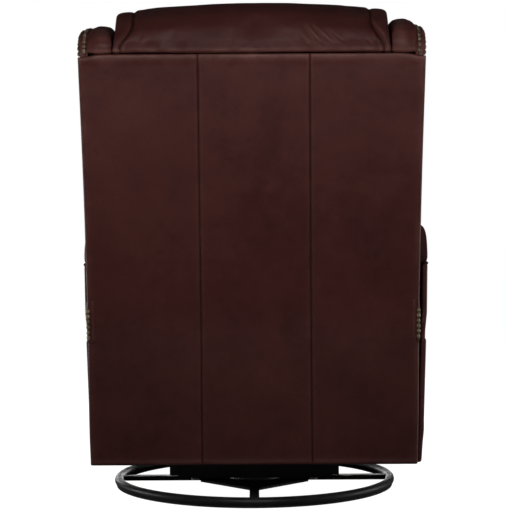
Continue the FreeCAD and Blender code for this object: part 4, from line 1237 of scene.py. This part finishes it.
def finish_seat():
    p = coords(seat)
    nrm = normals(seat)
    x, y, z = p.T
    face = (seat_slab["side"] > 0) * ease(seat_slab["depth"] / 20)
    wall = (seat_slab["side"] == 0) * 1.0
    sag = -3.0 * bell(np.hypot(x / 150.0, (y + 150) / 170.0), 1.0)
    wav = 1.5 * noise(p, 120, 81) + 0.7 * noise(p, 46, 82) + 0.2 * noise(p, 17, 83)
    pull = 0.9 * noise(np.column_stack([x * 0.9, y * 0.9, x * 0]), 16, 84) * bell(seat_slab["depth"] - 8, 22) * (seat_slab["side"] > 0)
    crease = 0.8 * noise(np.column_stack([x, y, z * 0.25]), 21, 85) * wall
    p = p + nrm * (wav * face + pull + crease + 0.6 * wav * wall)[:, None]
    p[:, 2] += sag * face
    set_coords(seat, p)
    paint(seat, "wear", (0.32 * bell(seat_slab["depth"] - 7, 12) * (seat_slab["side"] > 0) + 0.22 * bell(np.hypot(x / 190.0, (y + 170) / 200.0), 1.0) * face) * (0.65 + 0.6 * noise(p, 65, 86)))
    subdivide(seat)


def finish_lumbar():
    p = coords(lumbar)
    nrm = normals(lumbar)
    x, y, z = p.T
    face = (lumbar_slab["side"] > 0) * 1.0
    depth = lumbar_slab["depth"]
    wav = 1.3 * noise(p, 105, 91) + 0.6 * noise(p, 42, 92) + 0.2 * noise(p, 17, 93)
    pull = 0.9 * noise(np.column_stack([x, x * 0, z]), 15, 94) * bell(depth - 10, 20) * face
    set_coords(lumbar, p + nrm * ((wav + pull) * face)[:, None])
    paint(lumbar, "wear", 0.26 * bell(depth - 14, 14) * face * (0.65 + 0.6 * noise(p, 55, 95)))
    subdivide(lumbar)


def finish_footrest():
    p = coords(foot)
    nrm = normals(foot)
    x, y, z = p.T
    face = (foot_slab["side"] > 0) * 1.0
    depth = foot_slab["depth"]
    wav = 1.0 * noise(p, 95, 101) + 0.45 * noise(p, 38, 102) + 0.16 * noise(p, 16, 103)
    groove = np.zeros(len(p))
    for xs in (-84.0, 84.0):
        d = np.abs(x - xs)
        groove += -4.6 * bell(d, 4.2) + 1.4 * bell(d - 16, 11)
        groove += 0.9 * noise(np.column_stack([x * 0, x * 0, z]), 13, 104) * bell(d - 11, 11)
    set_coords(foot, p + nrm * ((wav + groove * ease(depth / 10)) * face)[:, None])
    seams = np.maximum(bell(np.abs(x) - 84, 2.2), 0)
    paint(foot, "wear", (0.28 * bell(depth - 10, 12) + 0.15 * bell(np.abs(np.abs(x) - 84) - 14, 8)) * face * (0.65 + 0.6 * noise(p, 55, 105)))
    # Painted shade: darker in the two sewn grooves of the pad.
    paint(foot, "dirt", 0.8 * seams * face)
    subdivide(foot)


finish_pillow()
finish_wings()
finish_arm()
finish_seat()
finish_lumbar()
finish_footrest()


# ---------------------------------------------------------------- welts, nailheads, small pieces

def make_welts():
    made = []
    # seat cushion: cord sewn in the upper and lower edges of its border
    b = Build()
    for z, r in ((472.6, 4.3), (382.0, 3.8)):
        loop = resample(seat_slab["loop"], 7.0)
        out = -inward(counterclockwise(loop))
        loop = counterclockwise(loop) + out * 0.6
        path = np.column_stack([loop, np.full(len(loop), z)])
        b.add(*sweep(path, r, 10, closed=True, up=(0, 0, 1)), 0, 0.42)
    made.append((b.make("seat_cushion_welt", [HIDE]), "chassis"))
    # front arm panels: cord round the edge
    b = Build()
    path2 = inset(arm_front_loop, 1.6, 6.0)
    path = np.column_stack([path2[:, 0], np.full(len(path2), -463.5), path2[:, 1]])
    path = path[np.argsort(0 * path[:, 0])]
    pts, faces = sweep(path, 3.6, 10, closed=True, up=(0, 1, 0))
    b.add(pts, faces, 0, 0.4)
    b.add(pts * (-1, 1, 1), [tuple(reversed(f)) for f in faces], 0, 0.4)
    made.append((b.make("arm_front_welt", [HIDE]), "chassis"))
    # arms: cord in the joint under the outer side of the roll
    b = Build()
    ys = np.linspace(-452, 262.5, 90)
    path = np.column_stack([383.6 + 0.25 * noise(np.column_stack([ys, ys * 0, ys * 0]), 40, 121), ys, 540.8 + 0.3 * noise(np.column_stack([ys, ys * 0, ys * 0]), 55, 122)])
    pts, faces = sweep(path, 4.2, 10, up=(1, 0, 0))
    b.add(pts, faces, 0, 0.3)
    b.add(pts * (-1, 1, 1), [tuple(reversed(f)) for f in faces], 0, 0.3)
    made.append((b.make("arm_side_welt", [HIDE]), "chassis"))
    # wing panels: cord between panel and pad
    b = Build()
    loop = counterclockwise(resample(rounded(WING_PANEL, 10, 2), 7.0))
    out = -inward(loop)
    path2 = loop + out * 0.6
    keep = [i for i in range(len(path2)) if path2[i, 1] > 652 and (path2[i, 0] < 436 or path2[i, 1] > 1003)]
    cut = max(range(len(keep)), key=lambda i: (keep[i] - keep[i - 1]) % len(path2))
    order = keep[cut:] + keep[:cut]
    path = np.array([(353.2, path2[i, 0], path2[i, 1]) for i in order])
    pts, faces = sweep(path, 4.0, 10, up=(1, 0, 0))
    b.add(pts, faces, 0, 0.15)
    b.add(pts * (-1, 1, 1), [tuple(reversed(f)) for f in faces], 0, 0.15)
    made.append((b.make("wing_welt", [HIDE]), "back"))
    return made


welts = make_welts()


def make_nails():
    wing, arm = Build(), Build()
    loop = rounded(WING_PANEL, 10, 2)
    side = inset(loop, 8.6, 11.5)
    for y, z in side:
        y -= 4.6 * float(ease((y - float(rear(z)) + 60) / 30) * ease((1000 - z) / 20))
        x = float(wing_out(z, y)) + 0.35
        for sign in (1, -1):
            add_nail(wing, (sign * x, y, z), (sign, 0, 0))
    # a second row on the edge of the wing, seen from behind beside the crown
    edge = counterclockwise(resample(loop, 11.6))
    out = -inward(edge)
    for (y, z), (oy, oz) in zip(edge, out):
        if z > 1003 or (z > 700 and y < 170):
            x = 352.2 + (float(wing_out(z)) - 352.2) * 0.30
            for sign in (1, -1):
                add_nail(wing, (sign * x, y + oy * 0.1, z + oz * 0.1), (sign * 0.12, oy, oz), size=0.98)
    for x, z in inset(arm_front_loop, 10.0, 11.5):
        if z > 122:
            for sign in (1, -1):
                add_nail(arm, (sign * x, -471.6, z), (0, -1, 0))
    return wing.make("wing_nailheads", [BRASS]), arm.make("arm_nailheads", [BRASS])


wing_nails, arm_nails = make_nails()


def corner_of_back(u, z):
    """Point and outward direction on the hide's edge: u runs from the side (0) round the corner to the rear face, in mm."""
    w, y, r = float(half_width(z)), float(rear(z)), 8.0
    if u < 10.0:
        return np.array([w, y - r - 10.0 + u, z]), np.array([1.0, 0, 0])
    if u < 10.0 + r * math.pi / 2:
        a = (u - 10.0) / r
        return np.array([w - r + r * math.cos(a), y - r + r * math.sin(a), z]), np.array([math.cos(a), math.sin(a), 0])
    return np.array([w - r - (u - 10.0 - r * math.pi / 2), y, z]), np.array([0, 1.0, 0])


def make_tabs():
    """The rounded leather ends of the wings, lapped round the edge of the hide and nailed there."""
    tabs, heads = Build(), Build()
    us, zs = np.linspace(3.6, 30, 24), np.linspace(373, 466, 46)
    outer, inner = [], []
    for z in zs:
        for u in us:
            at, out = corner_of_back(u, z)
            side = min(u - 1.6, 30 - u, (467 - z) * 0.12)
            low = 19.0 - math.hypot(max(0.0, abs(u - 14.0)), max(0.0, 393.0 - z)) if z < 393 else 9.0
            h = 1.7 * float(ease((min(side, low) + 0.3) / 3.6)) - 0.9
            outer.append(at + out * (h + 0.9))
            inner.append(at + out * -1.2)
    n = len(us)
    m = len(zs)
    points = np.vstack([outer, inner])
    k = n * m
    faces = []
    for r in range(m - 1):
        for c in range(n - 1):
            q = (r * n + c, r * n + c + 1, (r + 1) * n + c + 1, (r + 1) * n + c)
            faces += [q, tuple(k + i for i in reversed(q))]
    ring = [c for c in range(n)] + [r * n + n - 1 for r in range(1, m)] + [(m - 1) * n + c for c in range(n - 2, -1, -1)] + [r * n for r in range(m - 2, 0, -1)]
    faces += [(ring[i], ring[i - 1], k + ring[i - 1], k + ring[i]) for i in range(len(ring))]
    rim = np.array([min(u - 1.6, 30 - u, 20.0 - math.hypot(abs(u - 15.0), max(0.0, 393.0 - z)) if z < 393 else 9.0) for z in zs for u in us])
    wear = np.concatenate([0.20 * bell(rim - 2, 3.0), np.zeros(k)])
    for sign in (1, -1):
        tabs.add(points * (sign, 1, 1), faces if sign > 0 else [tuple(reversed(f)) for f in faces], 0, wear)
        for z in np.arange(385.5, 448, 11.6):
            at, out = corner_of_back(17.2, z)
            add_nail(heads, (at + out * 1.4) * (sign, 1, 1), out * (sign, 1, 1))
    return tabs.make("wing_end_tabs", [HIDE]), heads.make("wing_end_nailheads", [BRASS])


tabs, tab_nails = make_tabs()


def make_border():
    """Leather-covered rail under the front of the seat cushion."""
    s = slab(box_loop(251.0, 340.2, 374.5, 6), 0.0, 6.0, 2.0, 3.5, crown_hi=0.8, reach=15, rows=1, step=6, grid=9)
    a, b, w = s["points"].T
    y = -433.4 - w + 0.3 * noise(np.column_stack([a, b, w * 0]), 40, 111)
    return Build().add(np.column_stack([a, y, b]), s["faces"], 0, 0.2).make("seat_front_border", [HIDE])


border = make_border()


def make_facings():
    """Leather over the inner front of an arm and over the front of the back rail beside the lumbar cushion."""
    s = slab(rounded([(-455.2, 106), (-379, 106), (-379, 374), (-455.2, 374)], 3, 2), 0.0, 3.2, 1.0, 1.4, crown_hi=0.3, reach=20, rows=1, step=6, grid=12)
    a, b, w = s["points"].T
    inner = Build().add(np.column_stack([256.5 - w, a, b]), s["faces"], 0, 0.2 * bell(s["depth"], 5)).make("arm_inner_facing_left", [HIDE])
    s = slab(rounded([(261, 447), (351, 447), (351, 645.5), (307, 645.5), (295.5, 672), (295.5, 701), (261, 701)], 3, 2), 0.0, 7.0, 1.5, 4.0, crown_hi=1.6, reach=40, rows=1, step=6, grid=11)
    a, b, w = s["points"].T
    q = np.column_stack([a, b, w * 0])
    y = 327.0 + RAKE * (b - 650) - w - (s["side"] > 0) * (0.5 * noise(q, 45, 131) + 0.2 * noise(q, 19, 132)) * ease(s["depth"] / 10)
    rail = Build().add(np.column_stack([a, y, b]), s["faces"], 0, 0.25 * bell(s["depth"], 6)).make("back_rail_facing_left", [HIDE])
    return inner, rail


arm_facing, rail_facing = make_facings()


def make_board_band():
    """Leather turned round the edge of the footrest board."""
    lo, hi = (np.array(v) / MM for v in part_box("footrest_board"))
    loop = counterclockwise(densify([(lo[0] - 0.5, lo[2] - 0.5), (hi[0] + 0.5, lo[2] - 0.5), (hi[0] + 0.5, hi[2] + 0.5), (lo[0] - 0.5, hi[2] + 0.5)], 6))
    out = -inward(loop)
    n = len(loop)
    ys = [lo[1] + 0.2, lo[1] + 0.2, lo[1] + 0.8, hi[1] - 0.8, hi[1] - 0.2, hi[1] - 0.2]
    far = [0.0, 1.3, 1.8, 1.8, 1.3, 0.0]
    q = np.column_stack([loop, loop[:, 0] * 0])
    wav = 0.25 * noise(q, 24, 151)
    rings = [np.column_stack([loop[:, 0] + out[:, 0] * (f + (wav if f else 0)), np.full(n, y), loop[:, 1] + out[:, 1] * (f + (wav if f else 0))]) for y, f in zip(ys, far)]
    m = len(rings)
    faces = [(k * n + i, k * n + (i + 1) % n, ((k + 1) % m) * n + (i + 1) % n, ((k + 1) % m) * n + i) for k in range(m) for i in range(n)]
    return Build().add(np.vstack(rings), faces, 0, 0.15).make("footrest_board_band", [HIDE])


board_band = make_board_band()

APRON = [(122.5, 470), (123.5, 445), (127, 415), (138, 390), (158, 378), (180, 383), (197, 405), (207, 435), (213, 465), (215.5, 483.8)]


def make_apron():
    """Leather that closes the gap from the rear of the seat to the lumbar cushion, slack so that the back can recline."""
    line = resample(chaikin_open(np.array(APRON, float), 3), 6.0, closed=False)
    xs = np.linspace(-245, 245, 50)
    n, m = len(line), len(xs)
    p = np.array([(x, y, z) for x in xs for y, z in line])
    t = np.tile(np.linspace(0, 1, n), m)
    slack = np.sin(t * math.pi)
    q = np.column_stack([p[:, 0], t * 60, p[:, 0] * 0])
    p[:, 2] += slack * (2.2 * noise(q, 42, 141) + 0.9 * noise(q, 17, 142))
    faces = [(i * n + k, i * n + k + 1, (i + 1) * n + k + 1, (i + 1) * n + k) for i in range(m - 1) for k in range(n - 1)]
    # Painted shade: darker towards the bottom of the sag, deep in the gap.
    piece = Build().add(p, faces, 0, 0.06, 0.15 * slack).make("seat_back_apron", [HIDE], outward=False)
    mod = piece.modifiers.new("hide", "SOLIDIFY")
    mod.thickness, mod.offset, mod.use_even_offset = 2.2 * MM, 0.0, False
    return settle(piece), float(np.linalg.norm(np.diff(line, axis=0), axis=1).sum())


def chaikin_open(points, times):
    for _ in range(times):
        cut = np.stack([points[:-1] * 0.75 + points[1:] * 0.25, points[:-1] * 0.25 + points[1:] * 0.75], 1).reshape(-1, points.shape[1])
        points = np.vstack([points[:1], cut, points[-1:]])
    return points


apron, apron_long = make_apron()
print("apron length", round(apron_long, 1))


# ---------------------------------------------------------------- what rides on what

def own(piece, body, *nodes, fill=None, slot="oxblood_leather"):
    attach(piece, body)
    if nodes:
        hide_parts(*nodes)
    return piece


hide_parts("outside_back_upper", "outside_back_lower")
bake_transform(skin)
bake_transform(threads)

for piece, slot in ((tabs, "oxblood_leather"), (tab_nails, "nail_brass")):
    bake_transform(piece)



def nudge(piece, move):
    """Small hand-made differences between the sides."""
    p = coords(piece)
    set_coords(piece, move(p.copy()))
    return piece


def wing_rise(amount):
    def move(p):
        p[:, 2] += amount * ease((-p[:, 0] - 280) / 10) * ease((p[:, 2] - 1002) / 50)
        return p
    return move


def wing_fall(p):
    p[:, 2] -= 5.0 * ease((p[:, 0] - 280) / 10) * ease((p[:, 2] - 1002) / 50)
    return p


def arm_rear(amount, lift=0.0):
    def move(p):
        side = np.sign(p[:, 0])
        far = ease((p[:, 1] - 60) / 190)
        p[:, 2] += lift * ease((p[:, 1] - 120) / 130) * ease((np.abs(p[:, 0]) - 340) / 36) * ease((p[:, 2] - 555) / 45)
        p[:, 0] += side * amount * far * ease((np.abs(p[:, 0]) - 330) / 30)
        return p
    return move


own(pillow, "back", "head_pillow", fill=0.75)
own(wing_panel, "back", "wing_panel_left", fill=0.35)
own(nudge(reflected(wing_panel, "wing_panel_right_cover"), wing_rise(5.0)), "back", "wing_panel_right", fill=0.35)
RIGHT_PAD = reflected(wing_pad, "wing_pad_right_cover")
own(nudge(wing_pad, wing_fall), "back", "wing_pad_left", fill=0.7)
own(nudge(RIGHT_PAD, wing_rise(8.0)), "back", "wing_pad_right", fill=0.7)
RIGHT_ARM = reflected(arm_pad, "arm_pad_right_cover")
own(nudge(arm_pad, arm_rear(-6.0)), "chassis", "arm_pad_left", fill=0.7)
own(nudge(RIGHT_ARM, arm_rear(6.5, 13.0)), "chassis", "arm_pad_right", fill=0.7)
RIGHT_SIDE = reflected(arm_side, "arm_outside_right_cover")
own(nudge(arm_side, arm_rear(-6.0)), "chassis", "arm_outside_left", fill=0.35)
own(nudge(RIGHT_SIDE, arm_rear(6.5)), "chassis", "arm_outside_right", fill=0.35)
own(arm_front, "chassis", "arm_front_panel_left", fill=0.4)
own(reflected(arm_front, "arm_front_panel_right_cover"), "chassis", "arm_front_panel_right", fill=0.4)
own(seat, "chassis", "seat_cushion", fill=0.7)
own(lumbar, "back", "lumbar_cushion", fill=0.7)
own(foot, "footrest", "footrest_pad", fill=0.7)
own(border, "chassis", fill=0.3)
own(reflected(arm_facing, "arm_inner_facing_right"), "chassis", fill=0.2)
own(arm_facing, "chassis", fill=0.2)
own(board_band, "footrest", fill=0.2)
own(reflected(rail_facing, "back_rail_facing_right"), "back", fill=0.3)
own(rail_facing, "back", fill=0.3)
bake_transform(apron)
for piece, body in welts:
    if body == "back":
        nudge(piece, wing_rise(5.0))
    elif piece.name == "arm_side_welt":
        nudge(piece, lambda p: np.where((p[:, :1] > 0), arm_rear(-6.0)(p.copy()), arm_rear(6.5)(p.copy())))
    own(piece, body)
own(nudge(wing_nails, wing_rise(5.0)), "back", "wing_nail_trim", slot="nail_brass")
own(arm_nails, "chassis", "arm_nail_trim", slot="nail_brass")


# ---------------------------------------------------------------- floor, light, camera

def make_stage():
    mesh = bpy.data.meshes.new("floor")
    r = 40.0
    mesh.from_pydata([(-r, -r, 0), (r, -r, 0), (r, r, 0), (-r, r, 0)], [], [(0, 1, 2, 3)])
    floor = bpy.data.objects.new("floor", mesh)
    scene.collection.objects.link(floor)
    p = Paint("studio_floor")
    fleck = p.noise(3.0, 3.0, 0.5)
    colour = p.ramp(fleck, [(0.3, (0.12, 0.12, 0.12)), (0.7, (0.13, 0.13, 0.13))])
    mat = p.finish(colour, 0.9, None, Specular_IOR_Level=0.0)
    glow = p.node("ShaderNodeEmission")
    glow.inputs["Strength"].default_value = FLOOR_GLOW
    both = p.node("ShaderNodeAddShader")
    p.link(p.shader.outputs[0], both.inputs[0])
    p.link(glow.outputs[0], both.inputs[1])
    seen = p.node("ShaderNodeMixShader")
    p.link(p.node("ShaderNodeLightPath").outputs["Is Camera Ray"], seen.inputs[0])
    p.link(p.shader.outputs[0], seen.inputs[1])
    p.link(both.outputs[0], seen.inputs[2])
    p.link(seen.outputs[0], next(n for n in p.tree.nodes if n.type == "OUTPUT_MATERIAL").inputs["Surface"])
    mesh.materials.append(mat)
    floor.location.z = -0.0002

    world = bpy.data.worlds.new("studio")
    scene.world = world
    world.use_nodes = True
    t = world.node_tree
    t.nodes.clear()
    out = t.nodes.new("ShaderNodeOutputWorld")
    path = t.nodes.new("ShaderNodeLightPath")
    last = None
    for kind, strength in ((None, WORLD_FILL), ("Is Glossy Ray", WORLD_SHINE), ("Is Camera Ray", 1.0)):
        back = t.nodes.new("ShaderNodeBackground")
        back.inputs["Color"].default_value, back.inputs["Strength"].default_value = (1, 1, 1, 1), strength
        if kind is None:
            last = back.outputs[0]
            continue
        mix = t.nodes.new("ShaderNodeMixShader")
        t.links.new(path.outputs[kind], mix.inputs[0])
        t.links.new(last, mix.inputs[1])
        t.links.new(back.outputs[0], mix.inputs[2])
        last = mix.outputs[0]
    t.links.new(last, out.inputs["Surface"])

    for name, at, to, size, power, lights, shines in LIGHTS:
        data = bpy.data.lights.new(name, "AREA")
        data.shape, data.size, data.size_y, data.energy = "RECTANGLE", size[0], size[1], power
        lamp = bpy.data.objects.new(name, data)
        scene.collection.objects.link(lamp)
        lamp.location = at
        lamp.rotation_mode = "QUATERNION"
        lamp.rotation_quaternion = (Vector(to) - Vector(at)).to_track_quat("-Z", "Y")
        lamp.visible_camera, lamp.visible_diffuse, lamp.visible_glossy = False, lights, shines


WORLD_FILL, WORLD_SHINE, FLOOR_GLOW = 0.02, 0.03, 1.0
LIGHTS = [
    ("softbox_rear", (0, 1.5, 0.97), (0, 0.45, 1.10), (1.8, 0.5), 19.5, True, False),
    ("softbox_sheen", (0, 3.6, 1.95), (0, 0.45, 0.90), (1.6, 0.5), 18, False, True),
    ("softbox_top", (0, -0.9, 3.0), (0, -0.3, 0), (2.4, 1.4), 11, True, False),
    ("softbox_front", (0.3, -2.2, 1.2), (0, 0, 0.6), (1.8, 0.7), 56, True, False),
    ("softbox_front_sheen", (0.3, -2.4, 0.35), (0, 0, 0.6), (2.4, 0.5), 22, False, True),
    ("softbox_left", (2.1, -0.25, 1.05), (0.3, -0.1, 0.6), (0.9, 0.6), 34, True, False),
    ("softbox_left_sheen", (2.3, -0.25, 0.35), (0.3, -0.1, 0.6), (1.4, 0.5), 7.5, False, True),
    ("softbox_right", (-2.1, -0.25, 1.05), (-0.3, -0.1, 0.6), (0.9, 0.6), 34, True, False),
    ("softbox_right_sheen", (-2.3, -0.25, 0.35), (-0.3, -0.1, 0.6), (1.4, 0.5), 7.5, False, True),
]
make_stage()


def make_camera():
    away, height, focus = 4.2, 0.73, 1752.0
    yaw, turn, pitch, roll = math.radians(0.1), math.radians(0.025), math.radians(2.507), math.radians(0.32)
    data = bpy.data.cameras.new("camera")
    data.sensor_width = 36.0
    data.lens = 36.0 * focus / 513.0
    data.clip_start, data.clip_end = 0.05, 200
    cam = bpy.data.objects.new("camera", data)
    scene.collection.objects.link(cam)
    aim = yaw + turn
    forward = Vector((math.sin(aim) * math.cos(pitch), -math.cos(aim) * math.cos(pitch), -math.sin(pitch)))
    right = forward.cross(Vector((0, 0, 1))).normalized()
    up = right.cross(forward)
    r = right * math.cos(roll) - up * math.sin(roll)
    u = up * math.cos(roll) + right * math.sin(roll)
    m = Matrix.Identity(4)
    for i in range(3):
        m[i][0], m[i][1], m[i][2] = r[i], u[i], -forward[i]
    m.translation = Vector((-away * math.sin(yaw), away * math.cos(yaw), height))
    cam.matrix_world = m
    scene.camera = cam


make_camera()
scene.view_settings.view_transform = "Standard"
scene.view_settings.look = "None"
